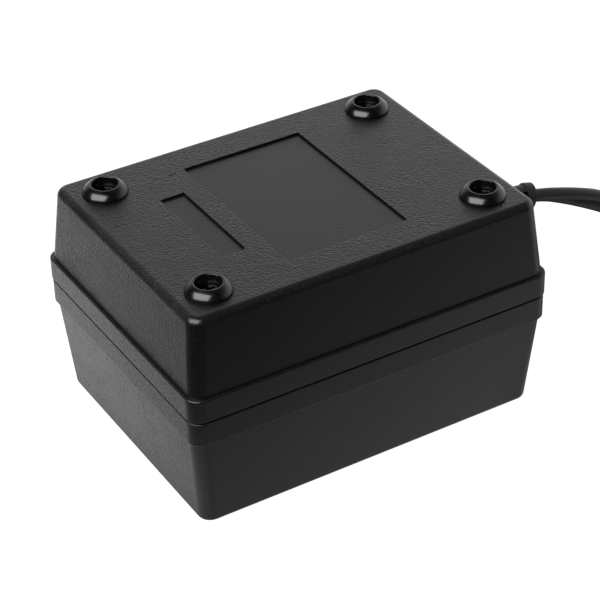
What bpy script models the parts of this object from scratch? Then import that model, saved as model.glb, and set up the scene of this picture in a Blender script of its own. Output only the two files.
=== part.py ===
"""Small mains step-up voltage converter: two drafted plastic shells joined by four long screws, a
frame-mounted EI transformer inside, a two-pin outlet and a flat two-core lead in a moulded relief.

The box lies on its flat cover with its feet up. X runs along the box towards the lead, Z is up, and
the origin is the centre of the face that it lies on. All sizes are in metres.
"""

import math

import bmesh
import bpy
from mathutils import Matrix, Vector

MM = 0.001
GAP = 0.3 * MM  # clearance between pieces that touch or fit into each other
OVERRUN = 1.0 * MM  # how far a cut runs past what it cuts

# Case
LENGTH = 100.0 * MM  # over the band at the seam
WIDTH = 76.3 * MM
HEIGHT = 58.0 * MM  # without the feet
SEAM_HEIGHT = 31.7 * MM
BAND_ABOVE_SEAM = 6.4 * MM
BAND_BELOW_SEAM = 6.6 * MM
BAND_STEP = 0.8 * MM  # how far the band stands out from the walls
COVER_BAND_INSET = 0.15 * MM  # the cover's half of the band is this much smaller
BASE_DRAFT = 0.097  # inwards for each unit of height
COVER_DRAFT = 0.083
WALL = 2.4 * MM
PLATE = 2.5 * MM  # thickness of the two flat faces
CORNER_RADIUS = 3.5 * MM
LEAST_RADIUS = 0.6 * MM  # that a corner keeps where a fillet meets it
TOP_FILLET = 2.0 * MM
BOTTOM_FILLET = 1.2 * MM
BAND_EDGE = 0.25 * MM
LIP_THICKNESS = 1.3 * MM
LIP_HEIGHT = 2.0 * MM

# Recessed panels in the foot side
PANEL_DEPTH = 0.45 * MM
LARGE_PANEL_LENGTH = 33.0 * MM
LARGE_PANEL_WIDTH = 50.0 * MM
SMALL_PANEL_LENGTH = 6.5 * MM
SMALL_PANEL_WIDTH = 30.0 * MM
PANEL_SPACING = 5.45 * MM

# Feet and case screws
FOOT_END_INSET = 12.25 * MM  # of the feet's middles from the band's faces
FOOT_SIDE_INSET = 12.35 * MM
FOOT_RADIUS = 5.7 * MM
FOOT_HEIGHT = 2.3 * MM
FOOT_HOLE_RADIUS = 3.25 * MM
FOOT_RIM = 0.7 * MM
FOOT_EDGE = 0.18 * MM
FOOT_SEAT_DEPTH = 1.9 * MM  # below the shell's face
FOOT_SEAT_THICKNESS = 1.2 * MM
SPIGOT_RADIUS = 4.3 * MM
BASE_COLUMN_WALL = 1.1 * MM
COVER_COLUMN_RADIUS = 4.0 * MM
CASE_SCREW_RADIUS = 1.45 * MM
CASE_SCREW_GRIP = 11.3 * MM  # below the seam
CASE_SCREW_HEAD_RADIUS = 2.75 * MM
CASE_SCREW_HEAD_HEIGHT = 1.9 * MM

# Transformer
STACK = 30.0 * MM  # of laminations, along Y
CORE_LIFT = 0.5 * MM  # above the cover's inner face
YOKE = 9.5 * MM  # thickness of the core above and below its windows
BOBBIN_WALL = 1.0 * MM
BOBBIN_FLANGE = 1.2 * MM
INNER_WINDING = 2.6 * MM
INNER_TAPE = 0.4 * MM
OUTER_WINDING = 2.6 * MM
OUTER_TAPE = 0.5 * MM
WINDING_CLEARANCE = 0.9 * MM  # between the outer tape and the core's outer legs
FRAME_SHEET = 1.0 * MM
FRAME_MARGIN = 2.0 * MM  # from the stack's faces to the frame's edges
EAR_LENGTH = 8.5 * MM
EAR_WIDTH = 10.0 * MM
EAR_ROOT = 0.5 * MM  # of the ear that is still as wide as the frame
EAR_WALL_CLEARANCE = 3.0 * MM
EAR_SLEEVE_CLEARANCE = 0.2 * MM
BOSS_RADIUS = 3.5 * MM
BOSS_HEIGHT = 5.0 * MM
FRAME_SCREW_RADIUS = 1.4 * MM
FRAME_SCREW_GRIP = 3.0 * MM  # in its boss
FRAME_SCREW_HEAD_RADIUS = 2.7 * MM
FRAME_SCREW_HEAD_HEIGHT = 2.0 * MM
PAD_THICKNESS = 2.8 * MM
PAD_END_MARGIN = 8.5 * MM  # from the core's ends
PAD_SIDE_MARGIN = 3.0 * MM  # from the frame's edges
PIN_RADIUS = 0.5 * MM
PIN_HEIGHT = 4.0 * MM
PIN_X = 6.0 * MM  # from the transformer's middle
PIN_EDGE = 3.2 * MM  # from the flange's edge
FUSE_RADIUS = 1.8 * MM
FUSE_LENGTH = 9.0 * MM
FUSE_NOSE_RADIUS = 1.0 * MM
FUSE_NOSE_LENGTH = 0.9 * MM

# Outlet in the end wall
OUTLET_COLUMN_CLEARANCE = 0.8 * MM  # from its flange to the screw column beside it
OUTLET_LIFT = 0.8 * MM  # of its flange above the cover's inner face
OUTLET_WIDTH = 26.0 * MM
OUTLET_HEIGHT = 16.4 * MM
OUTLET_DEPTH = 13.6 * MM
OUTLET_SET_BACK = 0.4 * MM  # of its face from the band's face
OUTLET_FLANGE = 1.3 * MM
OUTLET_FLANGE_THICKNESS = 2.0 * MM
OUTLET_CORNER = 3.0 * MM
OUTLET_EDGE = 0.3 * MM
PIN_PITCH = 19.0 * MM
PIN_HOLE_RADIUS = 2.4 * MM
SLEEVE_RADIUS = 2.8 * MM
SLEEVE_WALL = 0.6 * MM
SLEEVE_END = 1.2 * MM  # thickness of a sleeve's closed end
SLEEVE_STOP = 2.0 * MM  # thickness of the face in front of the sleeves
SLEEVE_TAIL = 1.5 * MM

# Strain relief, by distance along its axis from the wall's outer face
RELIEF_SIDE_INSET = 16.35 * MM  # of its middle from the band's front face
RELIEF_DEPTH = 7.2 * MM  # below the foot side
RELIEF_LENGTH = 7.1 * MM
RELIEF_INSIDE = 1.5 * MM  # behind the wall
RELIEF_YAW = 12.0  # degrees that its free end bends to the side
RELIEF_DROOP = 12.0  # degrees that its free end bends down
RELIEF_STOP_RADIUS = 4.2 * MM
RELIEF_NECK_RADIUS = 2.9 * MM
RELIEF_COLLAR_RADIUS = 3.8 * MM
RELIEF_COLLAR_END = 0.9 * MM
RELIEF_SHOULDER_RADIUS = 3.3 * MM
RELIEF_SHOULDER_END = 2.2 * MM
RELIEF_RADIUS = 2.9 * MM
RELIEF_SLOT_START = 2.6 * MM
RELIEF_SLOT_END = 4.7 * MM
RELIEF_SLOT_HEIGHT = 3.6 * MM
RELIEF_WEB = 3.5 * MM  # thickness between the two slots
RELIEF_EDGE = 0.4 * MM

# Lead: a flat two-core cord, whose plain solid is a round tube as thick as the cord is wide
CORD_WIDTH = 5.8 * MM
CORD_POINT_SPACING = 6.0 * MM
CORD_ROUTE = [  # millimetres, from the strain relief to the coil
    (55.25, -22.75, 50.55),
    (60.0, -23.7, 49.7),
    (66.0, -25.0, 47.9),
    (72.5, -26.4, 45.3),
    (80.0, -28.0, 41.1),
    (87.5, -29.8, 35.0),
    (94.0, -31.4, 27.5),
    (100.0, -33.1, 19.0),
    (106.5, -35.0, 11.0),
    (113.5, -36.9, 5.2),
    (117.2, -37.8, 3.6),
]
COIL_X = 140.0 * MM
COIL_Y = -6.0 * MM
COIL_INNER_RADIUS = 23.7 * MM
COIL_OUTER_RADIUS = 35.8 * MM
COIL_HEIGHT = 11.9 * MM
COIL_EDGE = 2.0 * MM
TAIL_X = 141.4 * MM  # the middle of the last bend, which lies on the coil
TAIL_Y = -14.1 * MM
TAIL_RADIUS = 25.6 * MM
TAIL_FROM = -75.0  # degrees
TAIL_LEVEL_SHARE = 0.3  # of the bend, before it climbs to the plug
TAIL_STRAIGHT = 3.0 * MM  # before the plug
PLUG_RISE = 3.1 * MM  # of the plug's axis above the level part of the bend
PLUG_RELIEF_LENGTH = 14.0 * MM
PLUG_NECK = 7.2 * MM  # width and height where the lead enters
PLUG_ROOT_WIDTH = 11.0 * MM
PLUG_ROOT_HEIGHT = 9.6 * MM
PLUG_SHOULDER = 6.3 * MM
PLUG_BODY_LENGTH = 21.0 * MM
PLUG_BODY_WIDTH = 24.0 * MM
PLUG_BODY_HEIGHT = 12.4 * MM
PLUG_CORNER = 3.6 * MM
PLUG_EDGE = 1.2 * MM
BLADE_PITCH = 12.7 * MM
BLADE_LENGTH = 16.0 * MM
BLADE_WIDTH = 6.35 * MM
BLADE_THICKNESS = 1.5 * MM
BLADE_NOSE = 1.5 * MM
BLADE_TIP = 0.9 * MM  # thickness of its end
BLADE_DEPTH = 5.0 * MM  # inside the plug
TIE_ANGLE = 135.0  # degrees round the coil
TIE_WIDTH = 4.0 * MM
TIE_THICKNESS = 0.8 * MM
TIE_SINK = 0.1 * MM  # of its outer face below the coil's surface

# Wires inside
WIRE_RADIUS = 0.9 * MM
WIRE_POINT_SPACING = 2.4 * MM

# Shares of a screw's shank radius, head radius and head height
SCREW_POINT_LENGTH = 0.8
SCREW_POINT_RADIUS = 0.35
PAN_FLAT = 0.5
PAN_SIDE = 0.5
CROSS_ARM = 0.62
CROSS_HALF_WIDTH = 0.16
CROSS_DEPTH = 0.55

# How finely round shapes are drawn
ROUND_STEPS = 20
FOOT_STEPS = 28
COIL_STEPS = 48
SCREW_STEPS = 16
PIN_STEPS = 10
RELIEF_STEPS = 18
CORNER_STEPS = 5
FILLET_STEPS = 4
DOME_STEPS = 5
PAN_STEPS = 3
EDGE_STEPS = 2
SHOULDER_STEPS = 3
TAIL_STEPS = 7
CURVE_STEPS = 20
SMOOTH_ANGLE = 35.0  # degrees; sharper edges stay sharp


def base_inset(height):
    """How far the base shell's outer wall is set in from the band at a height."""
    return BAND_STEP + BASE_DRAFT * max(height - BAND_TOP, 0.0)


def cover_inset(height):
    """The same for the cover shell's wall, below the band."""
    return BAND_STEP + COVER_DRAFT * max(BAND_BOTTOM - height, 0.0)


# The shells' and feet's places
BAND_TOP = SEAM_HEIGHT + BAND_ABOVE_SEAM
BAND_BOTTOM = SEAM_HEIGHT - BAND_BELOW_SEAM
CEILING = HEIGHT - PLATE
INNER_STEP = BAND_STEP + WALL  # from the band's face to the inner face at the seam
LIP_INSET = INNER_STEP - LIP_THICKNESS
FOOT_X = LENGTH / 2 - FOOT_END_INSET
FOOT_Y = WIDTH / 2 - FOOT_SIDE_INSET
SMALL_PANEL_X = -(LARGE_PANEL_LENGTH + SMALL_PANEL_LENGTH) / 2 - PANEL_SPACING
CASE_SCREW_SEAT = HEIGHT - FOOT_SEAT_DEPTH + GAP
CASE_SCREW_TIP = SEAM_HEIGHT - CASE_SCREW_GRIP
RELIEF_Y = RELIEF_SIDE_INSET - WIDTH / 2
RELIEF_Z = HEIGHT - RELIEF_DEPTH
RELIEF_INNER = -WALL - GAP  # where the relief's stop meets the wall from inside

# The outlet's places
OUTLET_FACE = LENGTH / 2 - OUTLET_SET_BACK
OUTLET_REAR = OUTLET_FACE - OUTLET_DEPTH
OUTLET_Y = FOOT_Y - COVER_COLUMN_RADIUS - OUTLET_COLUMN_CLEARANCE - OUTLET_FLANGE - OUTLET_WIDTH / 2
OUTLET_Z = PLATE + OUTLET_LIFT + OUTLET_FLANGE + OUTLET_HEIGHT / 2
OUTLET_STOP = LENGTH / 2 - cover_inset(PLATE + OUTLET_LIFT) - WALL - GAP
SLEEVE_FRONT = OUTLET_FACE - SLEEVE_STOP - GAP
SLEEVE_REAR = OUTLET_REAR - SLEEVE_TAIL

# The transformer fills the room between the end wall and the outlet, and between floor and ceiling
BOSS_TOP = PLATE + BOSS_HEIGHT
EAR_BOTTOM = BOSS_TOP + GAP
EAR_LEFT = cover_inset(EAR_BOTTOM) + WALL + EAR_WALL_CLEARANCE - LENGTH / 2
EAR_RIGHT = SLEEVE_REAR - EAR_SLEEVE_CLEARANCE
FRAME_SCREW_SEAT = EAR_BOTTOM + FRAME_SHEET + GAP
FRAME_SCREW_TIP = BOSS_TOP - FRAME_SCREW_GRIP
FRAME_TOP = CEILING - GAP - PAD_THICKNESS - GAP
FRAME_WIDTH = STACK - 2 * FRAME_MARGIN
CORE_X = (EAR_LEFT + EAR_RIGHT) / 2
CORE_HALF = (EAR_RIGHT - EAR_LEFT) / 2 - EAR_LENGTH - FRAME_SHEET - GAP
CORE_BOTTOM = PLATE + CORE_LIFT
CORE_TOP = FRAME_TOP - FRAME_SHEET - GAP
WOUND = BOBBIN_WALL + INNER_WINDING + INNER_TAPE + OUTER_WINDING + OUTER_TAPE + 5 * GAP
LEG = (CORE_HALF - WOUND - WINDING_CLEARANCE) / 2  # of an outer leg, and half of the middle one
WINDOW_BOTTOM = CORE_BOTTOM + YOKE
WINDOW_TOP = CORE_TOP - YOKE - GAP
WINDING_FOOT = WINDOW_BOTTOM + GAP + BOBBIN_FLANGE + GAP
WINDING_TOP = WINDOW_TOP - GAP - BOBBIN_FLANGE - GAP
PIN_FOOT = WINDOW_TOP - BOBBIN_FLANGE / 2  # half-way into the upper flange, with a gap under it
MATERIALS = {}


def material(name, colour, roughness, metallic=0.0):
    """A Principled material, made once."""
    if name not in MATERIALS:
        made = bpy.data.materials.new(name)
        made.use_nodes = True
        shader = made.node_tree.nodes["Principled BSDF"]
        shader.inputs["Base Color"].default_value = (*colour, 1.0)
        shader.inputs["Roughness"].default_value = roughness
        shader.inputs["Metallic"].default_value = metallic
        MATERIALS[name] = made
    return MATERIALS[name]


def case_plastic():
    return material("case_plastic", (0.012, 0.012, 0.013), 0.55)


def foot_plastic():
    return material("foot_plastic", (0.008, 0.008, 0.008), 0.18)


def cord_vinyl():
    return material("cord_vinyl", (0.014, 0.014, 0.015), 0.38)


def screw_steel():
    return material("screw_steel", (0.32, 0.32, 0.33), 0.3, 1.0)


def core_steel():
    return material("core_steel", (0.22, 0.22, 0.23), 0.5, 1.0)


def frame_steel():
    return material("frame_steel", (0.55, 0.55, 0.55), 0.35, 1.0)


def copper():
    return material("enamelled_copper", (0.6, 0.2, 0.07), 0.3, 1.0)


def brass():
    return material("brass", (0.75, 0.55, 0.22), 0.3, 1.0)


def nickel():
    return material("nickel", (0.7, 0.68, 0.62), 0.25, 1.0)


def bobbin_plastic():
    return material("bobbin_plastic", (0.75, 0.73, 0.66), 0.5)


def tape_film():
    return material("tape_film", (0.85, 0.62, 0.06), 0.35)


def pad_foam():
    return material("pad_foam", (0.05, 0.05, 0.05), 0.95)


def outlet_plastic():
    return material("outlet_plastic", (0.01, 0.01, 0.01), 0.3)


def red_wire():
    return material("red_wire", (0.5, 0.02, 0.02), 0.4)


def black_wire():
    return material("black_wire", (0.02, 0.02, 0.02), 0.4)


def white_wire():
    return material("white_wire", (0.8, 0.8, 0.78), 0.4)


def add_object(name, mesh, finish, hidden=False):
    """Puts a mesh into the scene; a hidden one is a cutter."""
    thing = bpy.data.objects.new(name, mesh)
    bpy.context.scene.collection.objects.link(thing)
    if finish:
        mesh.materials.append(finish)
    if hidden:
        thing.hide_render = True
        thing.display_type = "WIRE"
    return thing


def mesh_of(name, points, faces):
    """A mesh whose faces all point outwards."""
    shape = bmesh.new()
    corners = [shape.verts.new(p) for p in points]
    for face in faces:
        shape.faces.new([corners[i] for i in face])
    bmesh.ops.recalc_face_normals(shape, faces=shape.faces)
    mesh = bpy.data.meshes.new(name)
    shape.to_mesh(mesh)
    shape.free()
    return mesh


def lofted(name, sections, finish=None, hidden=False):
    """A closed solid through outlines of equally many points, flat at both ends."""
    count = len(sections[0])
    points = [p for section in sections for p in section]
    faces = [list(range(count))[::-1], [len(points) - count + i for i in range(count)]]
    for k in range(len(sections) - 1):
        for i in range(count):
            j = (i + 1) % count
            faces.append([k * count + i, k * count + j, (k + 1) * count + j, (k + 1) * count + i])
    return shaded(name, points, faces, finish, hidden)


def shaded(name, points, faces, finish, hidden):
    """An object that is shaded smooth except at its sharp edges."""
    mesh = mesh_of(name, points, faces)
    mesh.shade_smooth()
    mesh.set_sharp_from_angle(angle=math.radians(SMOOTH_ANGLE))
    return add_object(name, mesh, finish, hidden)


def turned(name, profile, finish=None, hidden=False, steps=ROUND_STEPS, place=None):
    """A solid of revolution about Z from (radius, height) pairs. A profile that starts and ends on the
    axis gives a solid, and one that stays off it is a closed outline and gives a ring."""
    points, rings = [], []
    for radius, height in profile:
        if radius == 0:
            rings.append([len(points)])
            points.append((0, 0, height))
        else:
            rings.append([len(points) + i for i in range(steps)])
            for i in range(steps):
                turn = 2 * math.pi * i / steps
                points.append((radius * math.cos(turn), radius * math.sin(turn), height))
    pairs = list(zip(rings, rings[1:]))
    if profile[0][0] != 0:
        pairs.append((rings[-1], rings[0]))
    faces = []
    for low, high in pairs:
        for i in range(steps):
            j = (i + 1) % steps
            corners = [low[i % len(low)], low[j % len(low)], high[j % len(high)], high[i % len(high)]]
            faces.append(list(dict.fromkeys(corners)))
    thing = shaded(name, points, faces, finish, hidden)
    if place is not None:
        thing.matrix_world = place
    return thing


def block(name, corner, opposite, finish=None, hidden=False):
    """A box between two opposite corners, placed by its middle."""
    corner, opposite = Vector(corner), Vector(opposite)
    half = [abs(side) / 2 for side in opposite - corner]
    signs = [(x, y, z) for x in (-1, 1) for y in (-1, 1) for z in (-1, 1)]
    points = [(x * half[0], y * half[1], z * half[2]) for x, y, z in signs]
    faces = [(0, 1, 3, 2), (4, 6, 7, 5), (0, 4, 5, 1), (2, 3, 7, 6), (0, 2, 6, 4), (1, 5, 7, 3)]
    thing = add_object(name, mesh_of(name, points, faces), finish, hidden)
    thing.location = (corner + opposite) / 2
    return thing


def boolean(target, operation, others):
    """Cuts the others from the target, or joins them to it."""
    for other in others:
        step = target.modifiers.new(other.name, "BOOLEAN")
        step.operation = operation
        step.solver = "EXACT"
        step.object = other


def rounded_outline(half_x, half_y, radius, height):
    """The corners of a rectangle with round corners, counterclockwise, at one height."""
    radius = min(radius, 0.9 * half_x, 0.9 * half_y)
    points = []
    for k, (sx, sy) in enumerate([(1, 1), (-1, 1), (-1, -1), (1, -1)]):
        for i in range(CORNER_STEPS + 1):
            turn = math.radians(90 * (k + i / CORNER_STEPS))
            x = sx * (half_x - radius) + radius * math.cos(turn)
            y = sy * (half_y - radius) + radius * math.sin(turn)
            points.append((x, y, height))
    return points


def case_outline(inset, height, rounding=0.0):
    """An outline of the case, set in from the band's face, with its corner radius less the rounding."""
    radius = max(CORNER_RADIUS - rounding, LEAST_RADIUS)
    return rounded_outline(LENGTH / 2 - inset, WIDTH / 2 - inset, radius, height)


def arc(steps):
    """Sines and cosines of the angles that divide a quarter turn into steps."""
    turns = [math.radians(90 * i / steps) for i in range(steps + 1)]
    return [(math.sin(turn), math.cos(turn)) for turn in turns]


def foot_places():
    """Name and place of each corner where a foot, a case screw and two columns line up."""
    for end, sx in (("left", -1), ("right", 1)):
        for side, sy in (("front", -1), ("back", 1)):
            yield f"{end}_{side}", sx * FOOT_X, sy * FOOT_Y


def column(name, x, y, radius, bottom, top):
    """An upright round cutter, or a column to be joined to a shell."""
    turns = [2 * math.pi * i / ROUND_STEPS for i in range(ROUND_STEPS)]
    ring = [(radius * math.cos(turn), radius * math.sin(turn)) for turn in turns]
    thing = lofted(name, [[(a, b, height) for a, b in ring] for height in (bottom, top)], hidden=True)
    thing.location = (x, y, 0)
    return thing


def base_shell():
    """The half with the feet, with its screw columns, the rebate for the cover's lip and the lead's hole."""
    bottom = SEAM_HEIGHT + GAP / 2
    wall_top = HEIGHT - TOP_FILLET
    sections = [
        case_outline(0, bottom),
        case_outline(0, BAND_TOP - BAND_EDGE),
        case_outline(BAND_EDGE, BAND_TOP, BAND_EDGE),
        case_outline(BAND_STEP, BAND_TOP),
    ]
    for sine, cosine in arc(FILLET_STEPS):
        rounding = TOP_FILLET * (1 - cosine)
        height = wall_top + TOP_FILLET * sine
        sections.append(case_outline(base_inset(wall_top) + rounding, height, rounding))
    shell = lofted("base_shell", sections, case_plastic())

    inside = [
        case_outline(INNER_STEP, bottom - OVERRUN, WALL),
        case_outline(INNER_STEP, BAND_TOP, WALL),
        case_outline(base_inset(CEILING) + WALL, CEILING, WALL),
    ]
    rebate_top = SEAM_HEIGHT + LIP_HEIGHT + GAP
    rebate = [case_outline(LIP_INSET - GAP, height, WALL) for height in (bottom - OVERRUN, rebate_top)]
    cavity = lofted("base_cavity", inside, hidden=True)
    boolean(shell, "DIFFERENCE", [cavity, lofted("base_rebate", rebate, hidden=True)])

    columns, holes = [], []
    spigot_hole = SPIGOT_RADIUS + GAP
    shank_hole = CASE_SCREW_RADIUS + GAP
    spigot_bottom = HEIGHT - FOOT_SEAT_DEPTH - FOOT_SEAT_THICKNESS - GAP
    for place, x, y in foot_places():
        radius = spigot_hole + BASE_COLUMN_WALL
        columns.append(column(f"base_column_{place}", x, y, radius, bottom, HEIGHT - PLATE / 2))
        holes.append(column(f"spigot_hole_{place}", x, y, spigot_hole, spigot_bottom, HEIGHT + OVERRUN))
        low, high = bottom - OVERRUN, spigot_bottom + OVERRUN
        holes.append(column(f"base_screw_hole_{place}", x, y, shank_hole, low, high))
    boolean(shell, "UNION", columns)
    boolean(shell, "DIFFERENCE", [*holes, *panel_cuts(), relief_hole()])
    return shell


def panel_cuts():
    """The cutters of the two shallow recesses in the foot side."""
    cuts = []
    for name, x, length, width in (
        ("large_panel", 0.0, LARGE_PANEL_LENGTH, LARGE_PANEL_WIDTH),
        ("small_panel", SMALL_PANEL_X, SMALL_PANEL_LENGTH, SMALL_PANEL_WIDTH),
    ):
        low = (x - length / 2, -width / 2, HEIGHT - PANEL_DEPTH)
        high = (x + length / 2, width / 2, HEIGHT + OVERRUN)
        cuts.append(block(name, low, high, hidden=True))
    return cuts


def cover_shell():
    """The half that the box lies on, with its lip, screw columns, bosses and the outlet's window."""
    seam = SEAM_HEIGHT - GAP / 2
    lip_top = SEAM_HEIGHT + LIP_HEIGHT
    sections = []
    for sine, cosine in arc(FILLET_STEPS):
        rounding = BOTTOM_FILLET * (1 - sine)
        height = BOTTOM_FILLET * (1 - cosine)
        sections.append(case_outline(cover_inset(BOTTOM_FILLET) + rounding, height, rounding))
    sections += [
        case_outline(BAND_STEP, BAND_BOTTOM),
        case_outline(COVER_BAND_INSET + BAND_EDGE, BAND_BOTTOM, BAND_EDGE),
        case_outline(COVER_BAND_INSET, BAND_BOTTOM + BAND_EDGE),
        case_outline(COVER_BAND_INSET, seam),
        case_outline(LIP_INSET, seam, WALL),
        case_outline(LIP_INSET, lip_top, WALL),
    ]
    shell = lofted("cover_shell", sections, case_plastic())
    inside = [
        case_outline(cover_inset(PLATE) + WALL, PLATE, WALL),
        case_outline(INNER_STEP, BAND_BOTTOM, WALL),
        case_outline(INNER_STEP, lip_top + OVERRUN, WALL),
    ]
    boolean(shell, "DIFFERENCE", [lofted("cover_cavity", inside, hidden=True)])

    columns, holes = [], []
    case_hole, frame_hole = CASE_SCREW_RADIUS + GAP, FRAME_SCREW_RADIUS + GAP
    for place, x, y in foot_places():
        columns.append(column(f"cover_column_{place}", x, y, COVER_COLUMN_RADIUS, PLATE / 2, seam))
        low, high = CASE_SCREW_TIP - 2 * GAP, seam + OVERRUN
        holes.append(column(f"cover_screw_hole_{place}", x, y, case_hole, low, high))
    for name, x in ear_places():
        columns.append(column(f"boss_{name}", x, 0, BOSS_RADIUS, PLATE / 2, BOSS_TOP))
        low, high = FRAME_SCREW_TIP - GAP, BOSS_TOP + OVERRUN
        holes.append(column(f"boss_hole_{name}", x, 0, frame_hole, low, high))
    boolean(shell, "UNION", columns)
    window = [outlet_outline(GAP, x) for x in (OUTLET_STOP, LENGTH / 2)]
    boolean(shell, "DIFFERENCE", [*holes, lofted("outlet_window", window, hidden=True)])
    return shell


def foot(place, x, y):
    """A glossy domed foot with a spigot in the shell and a recess for the screw's head."""
    seat = -FOOT_SEAT_DEPTH
    rim = FOOT_HOLE_RADIUS + FOOT_RIM
    hole = CASE_SCREW_RADIUS + GAP
    profile = [
        (hole, seat - FOOT_SEAT_THICKNESS),
        (SPIGOT_RADIUS, seat - FOOT_SEAT_THICKNESS),
        (SPIGOT_RADIUS, GAP),
    ]
    for sine, cosine in arc(DOME_STEPS):
        profile.append((rim + (FOOT_RADIUS - rim) * cosine, GAP + (FOOT_HEIGHT - GAP) * sine))
    profile += [
        (FOOT_HOLE_RADIUS + FOOT_EDGE, FOOT_HEIGHT),
        (FOOT_HOLE_RADIUS, FOOT_HEIGHT - FOOT_EDGE),
        (FOOT_HOLE_RADIUS, seat),
        (hole, seat),
    ]
    top = Matrix.Translation((x, y, HEIGHT))
    return turned(f"foot_{place}", profile, foot_plastic(), steps=FOOT_STEPS, place=top)


def screw(name, x, y, seat, tip, radius, head_radius, head_height):
    """A pan-head screw with a cross recess, point down, from its head's seat to its tip's height."""
    length = seat - tip
    profile = [
        (0, -length),
        (SCREW_POINT_RADIUS * radius, -length),
        (radius, SCREW_POINT_LENGTH * radius - length),
        (radius, 0),
        (head_radius, 0),
    ]
    flat, side = PAN_FLAT * head_radius, PAN_SIDE * head_height
    for sine, cosine in arc(PAN_STEPS):
        profile.append((flat + (head_radius - flat) * cosine, side + (head_height - side) * sine))
    profile.append((0, head_height))
    thing = turned(name, profile, screw_steel(), steps=SCREW_STEPS, place=Matrix.Translation((x, y, seat)))
    arm, half, deep = CROSS_ARM * head_radius, CROSS_HALF_WIDTH * head_radius, CROSS_DEPTH * head_height
    top = seat + head_height
    cuts = []
    for k, (dx, dy) in enumerate([(arm, half), (half, arm)]):
        low, high = (x - dx, y - dy, top - deep), (x + dx, y + dy, top + OVERRUN)
        cuts.append(block(f"{name}_recess_{k}", low, high, hidden=True))
    boolean(thing, "DIFFERENCE", cuts)
    return thing


def ear_places():
    """Name and X of each of the frame's two ears, at their screws."""
    yield "left", EAR_LEFT + EAR_LENGTH / 2
    yield "right", EAR_RIGHT - EAR_LENGTH / 2


def along_y(name, half, depth, finish):
    """A solid with an outline in the X-Z plane, given by its right half from the top middle down, or from
    the outside in, and extruded along Y about the transformer's middle."""
    outline = half + [(-x, z) for x, z in half[::-1]]
    sections = [[(x, y, z) for x, z in outline] for y in (-depth / 2, depth / 2)]
    thing = lofted(name, sections, finish)
    thing.location.x = CORE_X
    return thing


def core_stacks():
    """The E and I laminations, each stack as one solid."""
    inner = CORE_HALF - LEG
    e_half = [
        (CORE_HALF, CORE_BOTTOM),
        (CORE_HALF, WINDOW_TOP),
        (inner, WINDOW_TOP),
        (inner, WINDOW_BOTTOM),
        (LEG, WINDOW_BOTTOM),
        (LEG, WINDOW_TOP),
    ]
    along_y("core_e_stack", e_half, STACK, core_steel())
    i_half = [(CORE_HALF, WINDOW_TOP + GAP), (CORE_HALF, CORE_TOP)]
    along_y("core_i_stack", i_half, STACK, core_steel())


def leg_outline(out, radius, height):
    """An outline round the core's middle leg, out from it by a distance."""
    return rounded_outline(LEG + out, STACK / 2 + out, radius, height)


def ring_about_leg(name, inner, outer, finish):
    """A square ring about the middle leg, between two distances from it and between the bobbin's flanges."""
    heights = (WINDING_FOOT, WINDING_TOP)
    thing = lofted(name, [leg_outline(outer, outer, height) for height in heights], finish)
    heights = (WINDING_FOOT - OVERRUN, WINDING_TOP + OVERRUN)
    hole = lofted(f"{name}_hole", [leg_outline(inner, inner, height) for height in heights], hidden=True)
    boolean(thing, "DIFFERENCE", [hole])
    thing.location.x = CORE_X
    hole.location.x = CORE_X


def coil_layers():
    """The distances from the middle leg at which each layer on the bobbin starts and ends."""
    layers, at = {}, GAP + BOBBIN_WALL + GAP
    for name, thick in (
        ("primary_winding", INNER_WINDING),
        ("inner_tape", INNER_TAPE),
        ("secondary_winding", OUTER_WINDING),
        ("outer_tape", OUTER_TAPE),
    ):
        layers[name] = (at, at + thick)
        at += thick + GAP
    return layers


def windings():
    for name, (inner, outer) in coil_layers().items():
        ring_about_leg(name, inner, outer, copper() if name.endswith("winding") else tape_film())


def bobbin():
    """The former on the middle leg, with two flanges and holes for the four terminal pins."""
    low, high = WINDOW_BOTTOM + GAP, WINDOW_TOP - GAP
    tube_face, flange = GAP + BOBBIN_WALL, coil_layers()["outer_tape"][1]
    levels = [
        (flange, low),
        (flange, low + BOBBIN_FLANGE),
        (tube_face, low + BOBBIN_FLANGE),
        (tube_face, high - BOBBIN_FLANGE),
        (flange, high - BOBBIN_FLANGE),
        (flange, high),
    ]
    thing = lofted("bobbin", [leg_outline(out, BOBBIN_WALL, z) for out, z in levels], bobbin_plastic())
    hole = [leg_outline(GAP, GAP / 2, z) for z in (low - OVERRUN, high + OVERRUN)]
    cuts = [lofted("bobbin_hole", hole, hidden=True)]
    for each in (thing, cuts[0]):
        each.location.x = CORE_X
    for name, x, y in pin_places():
        cuts.append(column(f"{name}_hole", x, y, PIN_RADIUS + GAP, PIN_FOOT - GAP, high + OVERRUN))
    boolean(thing, "DIFFERENCE", cuts)
    return thing


def pin_places():
    """Name and place of each terminal pin on the bobbin's upper flange."""
    out = STACK / 2 + coil_layers()["outer_tape"][1] - PIN_EDGE
    for side, y in (("primary", -out), ("secondary", out)):
        for end, x in (("a", -PIN_X), ("b", PIN_X)):
            yield f"{side}_pin_{end}", CORE_X + x, y


def terminal_pin(name, x, y):
    profile = [(0, 0), (PIN_RADIUS, 0), (PIN_RADIUS, PIN_HEIGHT), (0, PIN_HEIGHT)]
    return turned(name, profile, nickel(), steps=PIN_STEPS, place=Matrix.Translation((x, y, PIN_FOOT)))


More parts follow.
